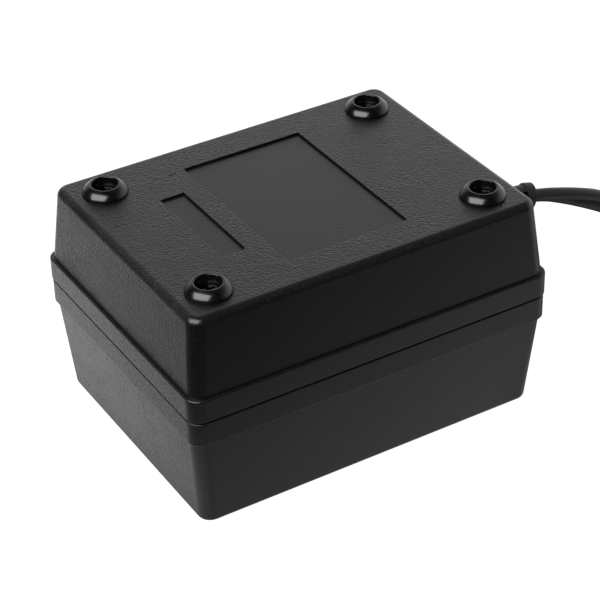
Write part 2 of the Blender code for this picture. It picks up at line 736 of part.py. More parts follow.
def transformer_frame():
    """A strip bent over the core, down both ends and out into two ears that are screwed to the cover."""
    inner = CORE_HALF + GAP
    outer = inner + FRAME_SHEET
    ear_top = EAR_BOTTOM + FRAME_SHEET
    half = [
        (outer, FRAME_TOP),
        (outer, ear_top),
        (outer + EAR_LENGTH, ear_top),
        (outer + EAR_LENGTH, EAR_BOTTOM),
        (inner, EAR_BOTTOM),
        (inner, FRAME_TOP - FRAME_SHEET),
    ]
    thing = along_y("transformer_frame", half, FRAME_WIDTH, frame_steel())
    low, high = EAR_BOTTOM - OVERRUN, ear_top + OVERRUN
    cuts = []
    for (name, x), end in zip(ear_places(), (-1, 1)):
        cuts.append(column(f"ear_hole_{name}", x, 0, FRAME_SCREW_RADIUS + GAP, low, high))
        root = x - end * (EAR_LENGTH / 2 - EAR_ROOT)
        tip = x + end * (EAR_LENGTH / 2 + OVERRUN)
        for side in (-1, 1):
            corner = (root, side * EAR_WIDTH / 2, low)
            opposite = (tip, side * (FRAME_WIDTH / 2 + OVERRUN), high)
            cuts.append(block(f"ear_cut_{name}_{side}", corner, opposite, hidden=True))
    boolean(thing, "DIFFERENCE", cuts)
    return thing


def frame_pad():
    """The foam pad between the frame and the base shell."""
    half_x, half_y = CORE_HALF - PAD_END_MARGIN, FRAME_WIDTH / 2 - PAD_SIDE_MARGIN
    low = (CORE_X - half_x, -half_y, FRAME_TOP + GAP)
    high = (CORE_X + half_x, half_y, CEILING - GAP)
    return block("frame_pad", low, high, pad_foam())


def along_x(x, y, z):
    """A placement that turns a shape's Z axis to the part's X axis."""
    return Matrix.Translation((x, y, z)) @ Matrix.Rotation(math.radians(90), 4, "Y")


def fuse_middle():
    out = STACK / 2 + coil_layers()["outer_tape"][1] + GAP + FUSE_RADIUS
    return Vector((CORE_X, -out, (WINDOW_BOTTOM + WINDOW_TOP) / 2))


def thermal_fuse():
    """A thermal cut-out that lies against the winding's tape."""
    half = FUSE_LENGTH / 2
    side = half - FUSE_NOSE_LENGTH
    profile = [(0, -half), (FUSE_NOSE_RADIUS, -half), (FUSE_RADIUS, -side)]
    profile += [(radius, -height) for radius, height in profile[::-1]]
    return turned("thermal_fuse", profile, nickel(), steps=SCREW_STEPS, place=along_x(*fuse_middle()))


def outlet_outline(out, x):
    """An outline of the outlet in the plane at x, out from its body by a distance."""
    flat = rounded_outline(OUTLET_WIDTH / 2 + out, OUTLET_HEIGHT / 2 + out, OUTLET_CORNER + out, x)
    return [(x, OUTLET_Y + a, OUTLET_Z + b) for a, b, x in flat]


def outlet_holes():
    """Name and Y of each of the outlet's two holes."""
    yield "a", OUTLET_Y - PIN_PITCH / 2
    yield "b", OUTLET_Y + PIN_PITCH / 2


def outlet_body():
    """The two-pin outlet: a block held behind the end wall by a flange, with a stepped bore for each pin."""
    levels = [
        (0, OUTLET_REAR),
        (0, OUTLET_STOP - OUTLET_FLANGE_THICKNESS),
        (OUTLET_FLANGE, OUTLET_STOP - OUTLET_FLANGE_THICKNESS),
        (OUTLET_FLANGE, OUTLET_STOP),
        (0, OUTLET_STOP),
        (0, OUTLET_FACE - OUTLET_EDGE),
        (-OUTLET_EDGE, OUTLET_FACE),
    ]
    thing = lofted("outlet_body", [outlet_outline(out, x) for out, x in levels], outlet_plastic())
    wide, stop = SLEEVE_RADIUS + GAP, OUTLET_FACE - SLEEVE_STOP
    profile = [
        (0, OUTLET_REAR - OVERRUN),
        (wide, OUTLET_REAR - OVERRUN),
        (wide, stop),
        (PIN_HOLE_RADIUS, stop),
        (PIN_HOLE_RADIUS, OUTLET_FACE + OVERRUN),
        (0, OUTLET_FACE + OVERRUN),
    ]
    bores = []
    for end, y in outlet_holes():
        bores.append(turned(f"outlet_bore_{end}", profile, hidden=True, place=along_x(0, y, OUTLET_Z)))
    boolean(thing, "DIFFERENCE", bores)
    return thing


def outlet_sleeve(end, y):
    """A brass sleeve that grips a plug's pin, closed behind, where its wire is soldered."""
    inner, closed = SLEEVE_RADIUS - SLEEVE_WALL, SLEEVE_REAR + SLEEVE_END
    profile = [
        (0, SLEEVE_REAR),
        (SLEEVE_RADIUS, SLEEVE_REAR),
        (SLEEVE_RADIUS, SLEEVE_FRONT),
        (inner, SLEEVE_FRONT),
        (inner, closed),
        (0, closed),
    ]
    return turned(f"outlet_sleeve_{end}", profile, brass(), place=along_x(0, y, OUTLET_Z))


def relief_wall_point():
    """Where the strain relief's axis meets the wall's outer face, and the wall's outward direction there."""
    point = Vector((LENGTH / 2 - base_inset(RELIEF_Z), RELIEF_Y, RELIEF_Z))
    return point, Vector((1, 0, BASE_DRAFT)).normalized()


def relief_direction():
    yaw, droop = math.radians(RELIEF_YAW), math.radians(RELIEF_DROOP)
    flat = math.cos(droop)
    return Vector((flat * math.cos(yaw), -flat * math.sin(yaw), -math.sin(droop)))


def relief_axis(distance):
    """Point and direction on the relief's axis, which is straight in the wall and then bends to its end."""
    start, out = relief_wall_point()
    if distance <= 0:
        return start + out * distance, out
    share = distance / RELIEF_LENGTH
    end_way = relief_direction()
    way = out.lerp(end_way, share).normalized()
    turned_share = share * share / 2
    return start + (out * (share - turned_share) + end_way * turned_share) * RELIEF_LENGTH, way


def relief_frame(distance):
    """Point on the relief's axis, with the directions to its front side and up."""
    point, way = relief_axis(distance)
    side = way.cross(Vector((0, 0, 1))).normalized()
    return point, side, side.cross(way)


def relief_ring(distance, radius):
    point, side, up = relief_frame(distance)
    turns = [2 * math.pi * i / RELIEF_STEPS for i in range(RELIEF_STEPS)]
    return [point + (side * math.cos(t) + up * math.sin(t)) * radius for t in turns]


def relief_hole():
    """The cutter of the hole that the relief's neck sits in, square to the drafted wall."""
    start, out = relief_wall_point()
    place = Matrix.Translation(start) @ out.to_track_quat("Z", "Y").to_matrix().to_4x4()
    radius, low = RELIEF_NECK_RADIUS + GAP, -WALL - OVERRUN
    profile = [(0, low), (radius, low), (radius, OVERRUN), (0, OVERRUN)]
    return turned("relief_hole", profile, hidden=True, place=place)


def strain_relief():
    """The relief moulded round the lead: a stop behind the wall, a neck, a collar and a slotted sleeve."""
    tail = RELIEF_INNER - RELIEF_INSIDE
    rings = [
        (tail, RELIEF_STOP_RADIUS - RELIEF_EDGE),
        (tail + RELIEF_EDGE, RELIEF_STOP_RADIUS),
        (RELIEF_INNER, RELIEF_STOP_RADIUS),
        (RELIEF_INNER, RELIEF_NECK_RADIUS),
        (GAP, RELIEF_NECK_RADIUS),
        (GAP, RELIEF_COLLAR_RADIUS),
        (RELIEF_COLLAR_END, RELIEF_COLLAR_RADIUS),
        (RELIEF_SHOULDER_END, RELIEF_SHOULDER_RADIUS),
        (RELIEF_SLOT_START, RELIEF_RADIUS),
        (RELIEF_SLOT_END, RELIEF_RADIUS),
        (RELIEF_LENGTH - RELIEF_EDGE, RELIEF_RADIUS),
        (RELIEF_LENGTH, RELIEF_RADIUS - RELIEF_EDGE),
    ]
    thing = lofted("strain_relief", [relief_ring(*ring) for ring in rings], cord_vinyl())
    slots = []
    for name, sign in (("front", 1), ("back", -1)):
        sections = []
        for distance in (RELIEF_SLOT_START, RELIEF_SLOT_END):
            point, side, up = relief_frame(distance)
            near = point + side * (sign * RELIEF_WEB / 2)
            far = point + side * (sign * (RELIEF_RADIUS + OVERRUN))
            rise = up * (RELIEF_SLOT_HEIGHT / 2)
            sections.append([near - rise, far - rise, far + rise, near + rise])
        slots.append(lofted(f"relief_slot_{name}", sections, hidden=True))
    boolean(thing, "DIFFERENCE", slots)
    return thing


def smooth_line(route, spacing):
    """Points about evenly spaced along a smooth curve through the route's own points."""
    route = [Vector(p) for p in route]
    ends = [2 * route[0] - route[1], *route, 2 * route[-1] - route[-2]]
    fine = []
    for a, b, c, d in zip(ends, ends[1:], ends[2:], ends[3:]):
        for i in range(CURVE_STEPS):
            t = i / CURVE_STEPS
            bend = (2 * a - 5 * b + 4 * c - d) * t * t + (3 * b - a - 3 * c + d) * t**3
            fine.append((2 * b + (c - a) * t + bend) / 2)
    fine.append(route[-1])
    length = sum((b - a).length for a, b in zip(fine, fine[1:]))
    count = max(2, round(length / spacing))
    line, walked, target = [fine[0]], 0.0, length / count
    for a, b in zip(fine, fine[1:]):
        step = (b - a).length
        while walked + step >= target and len(line) < count:
            line.append(a.lerp(b, (target - walked) / step))
            target += length / count
        walked += step
    line.append(fine[-1])
    return line


def tube(name, line, radius, finish):
    """A round tube along a line of points, closed at both ends."""
    curve = bpy.data.curves.new(name, "CURVE")
    curve.dimensions = "3D"
    curve.bevel_depth = radius
    curve.bevel_resolution = 2
    curve.use_fill_caps = True
    spline = curve.splines.new("POLY")
    spline.points.add(len(line) - 1)
    for point, place in zip(spline.points, line):
        point.co = (*place, 1.0)
    thing = bpy.data.objects.new(name, curve)
    bpy.context.scene.collection.objects.link(thing)
    curve.materials.append(finish)
    return thing


def mains_cord():
    """The lead's free stretch, out of the relief and down under its weight to the coil on the floor."""
    route = [Vector(p) * MM for p in CORD_ROUTE]
    return tube("mains_cord", smooth_line(route, CORD_POINT_SPACING), CORD_WIDTH / 2, cord_vinyl())


def cord_coil():
    """The outer shape of the lead's coil, with a shallow groove where the tie holds it."""
    low, high = COIL_EDGE, COIL_HEIGHT - COIL_EDGE
    inner, outer = COIL_INNER_RADIUS + COIL_EDGE, COIL_OUTER_RADIUS - COIL_EDGE
    profile = []
    for k, (radius, height) in enumerate([(inner, low), (outer, low), (outer, high), (inner, high)]):
        for i in range(EDGE_STEPS + 1):
            turn = math.radians(180 + 90 * (k + i / EDGE_STEPS))
            profile.append((radius + COIL_EDGE * math.cos(turn), height + COIL_EDGE * math.sin(turn)))
    place = Matrix.Translation((COIL_X, COIL_Y, 0))
    thing = turned("cord_coil", profile, cord_vinyl(), steps=COIL_STEPS, place=place)
    groove = lofted("tie_groove", tie_outlines(OVERRUN, TIE_WIDTH + 2 * GAP), hidden=True)
    floor = -TIE_SINK - TIE_THICKNESS - GAP
    core = lofted("tie_groove_core", tie_outlines(floor, TIE_WIDTH + 2 * OVERRUN), hidden=True)
    boolean(groove, "DIFFERENCE", [core])
    boolean(thing, "DIFFERENCE", [groove])
    return thing


def tie_outlines(out, width):
    """Two outlines round the coil's section at the tie, out from its surface, that are a width apart."""
    turn = math.radians(TIE_ANGLE)
    radial = Vector((math.cos(turn), math.sin(turn), 0))
    along = Vector((-math.sin(turn), math.cos(turn), 0))
    middle = Vector((COIL_X, COIL_Y, COIL_HEIGHT / 2))
    middle += radial * (COIL_INNER_RADIUS + COIL_OUTER_RADIUS) / 2
    half_r = (COIL_OUTER_RADIUS - COIL_INNER_RADIUS) / 2 + out
    flat = rounded_outline(half_r, COIL_HEIGHT / 2 + out, COIL_EDGE + out, 0)
    sections = []
    for sign in (-1, 1):
        offset = middle + along * (sign * width / 2)
        sections.append([offset + radial * a + Vector((0, 0, b)) for a, b, _ in flat])
    return sections


def cord_tie():
    """The tie round the coil, sunk into it, so that the coil still lies flat."""
    thing = lofted("cord_tie", tie_outlines(-TIE_SINK, TIE_WIDTH), cord_vinyl())
    inner = tie_outlines(-TIE_SINK - TIE_THICKNESS, TIE_WIDTH + 2 * OVERRUN)
    boolean(thing, "DIFFERENCE", [lofted("tie_hole", inner, hidden=True)])
    return thing


def tail_height():
    return COIL_HEIGHT + GAP + CORD_WIDTH / 2


def plug_rear():
    """Where the lead enters the plug, which points along Y."""
    y = TAIL_Y + TAIL_STRAIGHT + GAP
    return Vector((TAIL_X + TAIL_RADIUS, y, tail_height() + PLUG_RISE))


def cord_tail():
    """The lead's last bend, which lies on the coil and rises to the plug."""
    line = []
    for i in range(TAIL_STEPS + 1):
        share = i / TAIL_STEPS
        turn = math.radians(TAIL_FROM * (1 - share))
        climb = max(0.0, share - TAIL_LEVEL_SHARE) / (1 - TAIL_LEVEL_SHARE)
        x = TAIL_X + TAIL_RADIUS * math.cos(turn)
        y = TAIL_Y + TAIL_RADIUS * math.sin(turn)
        line.append(Vector((x, y, tail_height() + PLUG_RISE * climb * climb * (3 - 2 * climb))))
    line.append(line[-1] + Vector((0, TAIL_STRAIGHT, 0)))
    return tube("cord_tail", line, CORD_WIDTH / 2, cord_vinyl())


def plug_outline(y, width, height, corner):
    rear = plug_rear()
    flat = rounded_outline(width / 2, height / 2, corner, y)
    return [(rear.x + a, rear.y + y, rear.z + b) for a, b, y in flat]


def mains_plug():
    """The moulded two-blade plug with its tapered relief and rounded shoulders."""
    whole = PLUG_RELIEF_LENGTH + PLUG_BODY_LENGTH
    sections = [plug_outline(0, PLUG_NECK, PLUG_NECK, PLUG_CORNER)]
    for sine, cosine in arc(SHOULDER_STEPS):
        y = PLUG_RELIEF_LENGTH + PLUG_SHOULDER * (1 - cosine)
        width = PLUG_ROOT_WIDTH + (PLUG_BODY_WIDTH - PLUG_ROOT_WIDTH) * sine
        height = PLUG_ROOT_HEIGHT + (PLUG_BODY_HEIGHT - PLUG_ROOT_HEIGHT) * sine
        sections.append(plug_outline(y, width, height, PLUG_CORNER))
    sections.append(plug_outline(whole - PLUG_EDGE, PLUG_BODY_WIDTH, PLUG_BODY_HEIGHT, PLUG_CORNER))
    end = (PLUG_BODY_WIDTH - 2 * PLUG_EDGE, PLUG_BODY_HEIGHT - 2 * PLUG_EDGE, PLUG_CORNER - PLUG_EDGE)
    sections.append(plug_outline(whole, *end))
    thing = lofted("mains_plug", sections, cord_vinyl())
    room = Vector((GAP, GAP, GAP))
    cuts = []
    for end, low, high in blade_boxes():
        cuts.append(block(f"blade_slot_{end}", low - room, high + room, hidden=True))
    boolean(thing, "DIFFERENCE", cuts)
    return thing


def blade_boxes():
    """Name and the two far corners of each of the plug's blades."""
    rear = plug_rear()
    front = rear.y + PLUG_RELIEF_LENGTH + PLUG_BODY_LENGTH
    for end, sign in (("left", -1), ("right", 1)):
        x = rear.x + sign * BLADE_PITCH / 2
        low = Vector((x - BLADE_THICKNESS / 2, front - BLADE_DEPTH, rear.z - BLADE_WIDTH / 2))
        high = Vector((x + BLADE_THICKNESS / 2, front + BLADE_LENGTH, rear.z + BLADE_WIDTH / 2))
        yield end, low, high


def plug_blade(end, low, high):
    """A blade with its tip's edges taken off."""
    thin = (BLADE_THICKNESS - BLADE_TIP) / 2
    sections = []
    for y, dx, dz in ((low.y, 0, 0), (high.y - BLADE_NOSE, 0, 0), (high.y, thin, BLADE_NOSE / 2)):
        left, right, down, up = low.x + dx, high.x - dx, low.z + dz, high.z - dz
        sections.append([(left, y, down), (right, y, down), (right, y, up), (left, y, up)])
    return lofted(f"plug_blade_{end}", sections, nickel())


def relief_inner_end():
    """The middle of the strain relief's inner end, where the lead's two cores come out."""
    point, _ = relief_axis(RELIEF_INNER - RELIEF_INSIDE)
    return point


def way(anchor, *offsets):
    """Points of a route, each given in millimetres from a place that it has to keep to."""
    return [anchor + Vector(offset) * MM for offset in offsets]


def wires():
    """The wires inside: lead to fuse to primary pin, lead to the other primary pin, and two to the outlet."""
    pins = {name: Vector((x, y, PIN_FOOT + PIN_HEIGHT + GAP)) for name, x, y in pin_places()}
    lead = relief_inner_end() - Vector((GAP, 0, 0))
    fuse = fuse_middle()
    fuse_right = fuse + Vector((FUSE_LENGTH / 2 + GAP, 0, 0))
    fuse_left = fuse - Vector((FUSE_LENGTH / 2 + GAP, 0, 0))
    column_top = Vector((FOOT_X, -FOOT_Y, CORE_TOP))
    core_front = Vector((CORE_X + CORE_HALF, -STACK / 2, CORE_TOP))
    core_back = Vector((CORE_X + CORE_HALF, STACK / 2, CORE_TOP))

    live = way(lead, (-0.5, 0.8, -1.1), (-3.0, 3.1, -1.4))
    live += way(column_top, (-2.2, 8.2, -3.5))
    live += way(core_front, (6.0, -3.5, -7.8), (2.5, -6.5, -13.8))
    live += way(fuse_right, (19.2, 1.1, 4.2), (11.2, 0.1, 0.8), (5.2, 0, 0), (0, 0, 0))
    tube("wire_live", smooth_line(live, WIRE_POINT_SPACING), WIRE_RADIUS, black_wire())

    fused = way(fuse_left, (0, 0, 0), (-3.7, -0.2, 0.6), (-5.7, -0.3, 4.3), (-6.0, -0.1, 11.3))
    fused += way(pins["primary_pin_a"], (-3.6, -3.9, -0.2), (-2.2, -1.4, 4.2), (0, 0, 3.2), (0, 0, 0))
    tube("wire_fused", smooth_line(fused, WIRE_POINT_SPACING), WIRE_RADIUS, red_wire())

    neutral = way(lead, (-0.5, 0.8, 1.1), (-3.0, 3.1, 0.9))
    neutral += way(column_top, (-3.7, 8.3, -0.2))
    neutral += way(core_front, (-0.5, -2.6, -1.3))
    neutral += way(pins["primary_pin_b"], (10, 1.4, 4.6), (3, 0.2, 5.0), (0, 0, 2.8), (0, 0, 0))
    tube("wire_neutral", smooth_line(neutral, WIRE_POINT_SPACING), WIRE_RADIUS, white_wire())

    sleeves = {end: Vector((SLEEVE_REAR - GAP, y, OUTLET_Z)) for end, y in outlet_holes()}
    upper = way(pins["secondary_pin_a"], (0, 0, 0), (0, 0, 3.2), (3.4, 0.2, 5.6), (14, -0.9, 5.4))
    upper += way(core_back, (-6.5, 3, -2.8), (2, 0.5, -6.8), (5, -5, -14.8), (5.5, -13, -24.8))
    upper += way(sleeves["a"], (-4, 0.6, 5.2), (-3, 0, 1.2), (0, 0, 0))
    tube("wire_output_a", smooth_line(upper, WIRE_POINT_SPACING), WIRE_RADIUS, red_wire())
    lower = way(pins["secondary_pin_b"], (0, 0, 0), (0, 0, 2.0), (3.6, 0.2, 3.0), (14, -0.4, 1.2))
    lower += way(core_back, (0.5, 3.5, -9.8), (5, 2.5, -17.8), (6, 1.6, -28.8))
    lower += way(sleeves["b"], (-2.7, 0, 1.7), (0, 0, 0))
    tube("wire_output_b", smooth_line(lower, WIRE_POINT_SPACING), WIRE_RADIUS, red_wire())


def build():
    for thing in list(bpy.data.objects):
        bpy.data.objects.remove(thing, do_unlink=True)
    base_shell()
    cover_shell()
    case_head = (CASE_SCREW_RADIUS, CASE_SCREW_HEAD_RADIUS, CASE_SCREW_HEAD_HEIGHT)
    for place, x, y in foot_places():
        foot(place, x, y)
        screw(f"case_screw_{place}", x, y, CASE_SCREW_SEAT, CASE_SCREW_TIP, *case_head)
    core_stacks()
    bobbin()
    windings()
    for name, x, y in pin_places():
        terminal_pin(name, x, y)
    transformer_frame()
    frame_head = (FRAME_SCREW_RADIUS, FRAME_SCREW_HEAD_RADIUS, FRAME_SCREW_HEAD_HEIGHT)
    for name, x in ear_places():
        screw(f"frame_screw_{name}", x, 0, FRAME_SCREW_SEAT, FRAME_SCREW_TIP, *frame_head)
    frame_pad()
    thermal_fuse()
    outlet_body()
    for end, y in outlet_holes():
        outlet_sleeve(end, y)
    strain_relief()
    wires()
    mains_cord()
    cord_coil()
    cord_tie()
    cord_tail()
    mains_plug()
    for end, low, high in blade_boxes():
        plug_blade(end, low, high)


build()
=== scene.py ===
# %% [markdown]
# # A step-up voltage converter
#
# The object is a small black box of moulded plastic. It lies on its flat cover, with four glossy
# feet up, and a flat two-core lead leaves its far end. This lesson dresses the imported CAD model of
# the box: it keeps every solid's place and size, and gives each one the shape and finish of the
# real piece.

# %% Load the frame
import math

import bmesh
import bpy
from mathutils import Matrix, Vector


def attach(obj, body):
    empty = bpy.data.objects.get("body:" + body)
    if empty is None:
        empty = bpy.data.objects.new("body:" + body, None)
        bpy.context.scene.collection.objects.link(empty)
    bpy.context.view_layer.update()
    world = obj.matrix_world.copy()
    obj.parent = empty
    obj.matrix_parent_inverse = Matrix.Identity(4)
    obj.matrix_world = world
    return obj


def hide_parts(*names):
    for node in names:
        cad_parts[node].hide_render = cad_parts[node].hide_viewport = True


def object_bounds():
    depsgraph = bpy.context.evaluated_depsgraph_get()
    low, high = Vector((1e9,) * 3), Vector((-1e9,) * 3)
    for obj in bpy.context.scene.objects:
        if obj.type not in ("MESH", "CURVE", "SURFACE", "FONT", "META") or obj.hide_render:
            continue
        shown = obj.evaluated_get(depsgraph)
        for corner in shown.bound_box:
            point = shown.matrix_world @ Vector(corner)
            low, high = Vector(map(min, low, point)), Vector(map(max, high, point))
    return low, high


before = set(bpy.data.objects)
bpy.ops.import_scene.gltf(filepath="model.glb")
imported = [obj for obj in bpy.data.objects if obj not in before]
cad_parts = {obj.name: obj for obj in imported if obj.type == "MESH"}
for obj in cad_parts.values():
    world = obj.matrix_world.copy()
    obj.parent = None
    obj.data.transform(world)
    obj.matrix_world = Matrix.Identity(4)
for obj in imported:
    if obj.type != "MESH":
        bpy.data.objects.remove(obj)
cad_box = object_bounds()
MM = 0.001
sides = [round(side / MM, 1) for side in cad_box[1] - cad_box[0]]
print(len(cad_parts), "solids in a box of", sides, "mm")

# %% [markdown]
# ## The camera
#
# The picture is taken from the front left, about 34 degrees above the floor and half a metre away,
# with a long lens, so the box's parallel edges stay nearly parallel. A camera can be aimed with a
# constraint, but a matrix of its three axes also holds the small roll of the real picture.

# %% Camera
AZIMUTH = math.radians(-30.324)
ELEVATION = math.radians(33.912)
ROLL = math.radians(-1.589)
AIM = Vector((-5.249, -10.901, 35.0)) * MM
DISTANCE = 512.455 * MM
SENSOR, LENS = 36.0, 126.41  # millimetres, the unit that a Blender camera takes

back = Vector((
    math.sin(AZIMUTH) * math.cos(ELEVATION),
    -math.cos(AZIMUTH) * math.cos(ELEVATION),
    math.sin(ELEVATION),
))
level = (-back).cross(Vector((0, 0, 1))).normalized()
upright = back.cross(level)
right = level * math.cos(ROLL) + upright * math.sin(ROLL)
up = upright * math.cos(ROLL) - level * math.sin(ROLL)


def add_object(name, data):
    """A new object in the scene."""
    thing = bpy.data.objects.new(name, data)
    bpy.context.scene.collection.objects.link(thing)
    return thing


camera = add_object("camera", bpy.data.cameras.new("camera"))
camera.data.sensor_width = SENSOR
camera.data.lens = LENS
axes = Matrix((right, up, back)).transposed().to_4x4()
camera.matrix_world = Matrix.Translation(AIM + back * DISTANCE) @ axes
bpy.context.scene.camera = camera
print("camera at", [round(x / MM) for x in camera.matrix_world.translation], "mm")

# %% [markdown]
# ## Helpers for meshes
#
# Most pieces here are lofts: outlines of equally many points, one above the other, joined by faces.
# A loft gives clean rows of four-sided faces, which shade evenly, and a Boolean cuts what a loft
# can't have. Edges sharper than 35 degrees stay sharp.

# %% Meshes from points
SHARP = 35.0  # degrees
DOUBLES = 0.002 * MM


def tidy_mesh(mesh, sharp=SHARP):
    """Merge doubles, turn the faces outwards and shade all but the sharp edges smooth."""
    work = bmesh.new()
    work.from_mesh(mesh)
    bmesh.ops.remove_doubles(work, verts=work.verts, dist=DOUBLES)
    bmesh.ops.recalc_face_normals(work, faces=work.faces)
    work.to_mesh(mesh)
    work.free()
    mesh.shade_smooth()
    mesh.set_sharp_from_angle(angle=math.radians(sharp))


def add_mesh(name, points, faces, sharp=SHARP):
    """A mesh object at the origin whose faces point outwards."""
    mesh = bpy.data.meshes.new(name)
    mesh.from_pydata([tuple(p) for p in points], [], faces)
    tidy_mesh(mesh, sharp)
    return add_object(name, mesh)


def loft(name, sections, sharp=SHARP):
    """A closed solid through outlines of equally many points."""
    count = len(sections[0])
    points = [p for section in sections for p in section]
    faces = [list(range(count))[::-1], [len(points) - count + i for i in range(count)]]
    for k in range(len(sections) - 1):
        for i in range(count):
            j = (i + 1) % count
            faces.append([k * count + i, k * count + j, (k + 1) * count + j, (k + 1) * count + i])
    return add_mesh(name, points, faces, sharp)


def lathe(name, profile, steps, place=Matrix.Identity(4), sharp=SHARP):
    """A closed solid of revolution about Z from (radius, height) pairs, then put in its place.
    A profile with both ends on the axis is filled, and any other one is a closed ring."""
    points, rings = [], []
    for radius, height in profile:
        count = 1 if radius == 0 else steps
        rings.append([len(points) + i for i in range(count)])
        for i in range(count):
            turn = 2 * math.pi * i / steps
            point = Vector((radius * math.cos(turn), radius * math.sin(turn), height))
            points.append(place @ point)
    pairs = list(zip(rings, rings[1:]))
    if profile[0][0] != 0:
        pairs.append((rings[-1], rings[0]))
    faces = []
    for low, high in pairs:
        for i in range(steps):
            j = (i + 1) % steps
            corners = [low[i % len(low)], low[j % len(low)]]
            corners += [high[j % len(high)], high[i % len(high)]]
            faces.append(list(dict.fromkeys(corners)))
    return add_mesh(name, points, faces, sharp)


# %% Outlines
def arc(steps):
    """Sines and cosines along a quarter of a circle."""
    turns = [math.radians(90 * i / steps) for i in range(steps + 1)]
    return [(math.sin(turn), math.cos(turn)) for turn in turns]


def rounded(half_x, half_y, radius, steps=8):
    """The corners of a rounded rectangle about the origin, as (x, y) pairs."""
    points = []
    for quarter, (sx, sy) in enumerate([(1, 1), (-1, 1), (-1, -1), (1, -1)]):
        for i in range(steps + 1):
            turn = math.radians(90 * (quarter + i / steps))
            x = sx * (half_x - radius) + radius * math.cos(turn)
            y = sy * (half_y - radius) + radius * math.sin(turn)
            points.append((x, y))
    return points


def box(name, low, high):
    """A box between two corners, for cuts."""
    section = [(low[0], low[1]), (high[0], low[1]), (high[0], high[1]), (low[0], high[1])]
    return loft(name, [[(x, y, z) for x, y in section] for z in (low[2], high[2])])


# %% Finished pieces
def bake(thing):
    """Put what the modifiers make into the mesh itself, and take the modifiers off."""
    bpy.context.view_layer.update()
    seen = thing.evaluated_get(bpy.context.evaluated_depsgraph_get())
    made = bpy.data.meshes.new_from_object(seen)
    thing.modifiers.clear()
    thing.data = made
    made.name = thing.name


def boolean(target, operation, others):
    """Join or cut a piece with others, which are then removed."""
    for other in others:
        change = target.modifiers.new("boolean", "BOOLEAN")
        change.operation = operation
        change.solver = "EXACT"
        change.object = other
    bake(target)
    for other in others:
        bpy.data.objects.remove(other, do_unlink=True)


def carve(thing, cuts):
    """Cut a piece, and clean the mesh that the cuts leave."""
    boolean(thing, "DIFFERENCE", cuts)
    tidy_mesh(thing.data)


def even_out(thing):
    """Let the large faces lead the shading, so that small ones beside them don't dent it."""
    weigh = thing.modifiers.new("weigh", "WEIGHTED_NORMAL")
    weigh.keep_sharp = True
    bake(thing)


def settle(thing, finish, *nodes, slot=None):
    """Give a finished piece its material, its body and the solids that it stands for."""
    if finish is not None:
        thing.data.materials.clear()
        thing.data.materials.append(finish)
    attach(thing, "root")
    if nodes:
        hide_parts(*nodes)
    print(thing.name + ":", len(thing.data.polygons), "faces")


# %% [markdown]
# ## The lead's path
#
# The lead is a flat two-core cord, 3.2 mm thick and 5.8 mm wide. It leaves the box through a short
# relief, droops under its weight to the floor, and the part that nobody needs yet is wound into a
# coil of two layers, with its plug on top. A cord is best drawn as one line that a section then
# follows, so first comes the line: listed points down to the floor, turns from a rule, and
# the last bend to the plug.

# %% Sizes of the path, in millimetres, degrees and turns
CORD_ROUTE = [
    (52.9, -22.25, 51.0),
    (55.25, -22.75, 50.55),
    (60.0, -23.7, 49.7),
    (66.0, -25.0, 47.9),
    (72.5, -26.4, 45.3),
    (80.0, -28.0, 41.1),
    (87.5, -29.8, 35.0),
    (94.0, -31.4, 27.5),
    (100.0, -33.1, 19.0),
    (106.5, -35.0, 11.0),
    (113.5, -36.9, 5.2),
    (117.2, -37.8, 3.6),
    (122.0, -38.7, 3.05),
    (128.5, -39.5, 3.0),
]
COIL_X, COIL_Y, COIL_START = 140.0, -6.0, -97.7
PITCH = 3.3  # from one turn to the next beside it
OUTER_TURN, INNER_TURN = 34.2, 34.2 - 2 * PITCH
LOW_LAYER, TOP_LAYER, TAIL_LEVEL = 3.0, 8.9, 15.1
TURNS, STEPS_PER_TURN = 5.06, 80
STEPS_IN = [(0.86, 1.0), (1.86, 2.0)]  # the turns between which it moves in by a pitch
STEPS_OUT = [(3.70, 3.84), (4.70, 4.84)]
RISE_TO_TOP, RISE_TO_TAIL, SHIFT_TO_TAIL = (2.82, 3.0), (4.84, 5.06), (4.9, 5.06)
TAIL_SHIFT = 0.4
TIE_ANGLE, TIE_LIFT, TIE_HUMP = 135.0, 0.95, (8.0, 34.0)
TAIL_X, TAIL_Y, TAIL_RADIUS, TAIL_FROM = 141.4, -14.1, 25.6, -75.0
PLUG_RISE, RISE_SHARES, TAIL_STEPS = 3.1, (0.3, 1.0), 12
TAIL_STRAIGHT, INTO_PLUG = 3.0, 1.5
print("the lead goes through", len(CORD_ROUTE), "points, then", TURNS, "turns")


# %% The line of the lead
def eased(value, start, end):
    """0 before start, 1 after end, and a smooth change between them."""
    share = min(max((value - start) / (end - start), 0.0), 1.0)
    return share * share * (3 - 2 * share)


def through(points, steps=6):
    """A smooth line through points, which passes each along the line between its neighbours."""
    ends = [2 * points[0] - points[1], *points, 2 * points[-1] - points[-2]]
    line = []
    for a, b, c, d in zip(ends, ends[1:], ends[2:], ends[3:]):
        for i in range(steps):
            t = i / steps
            point = 2 * b + (c - a) * t
            point += (2 * a - 5 * b + 4 * c - d) * t**2
            point += (3 * b - a - 3 * c + d) * t**3
            line.append(0.5 * point)
    return line + [points[-1]]


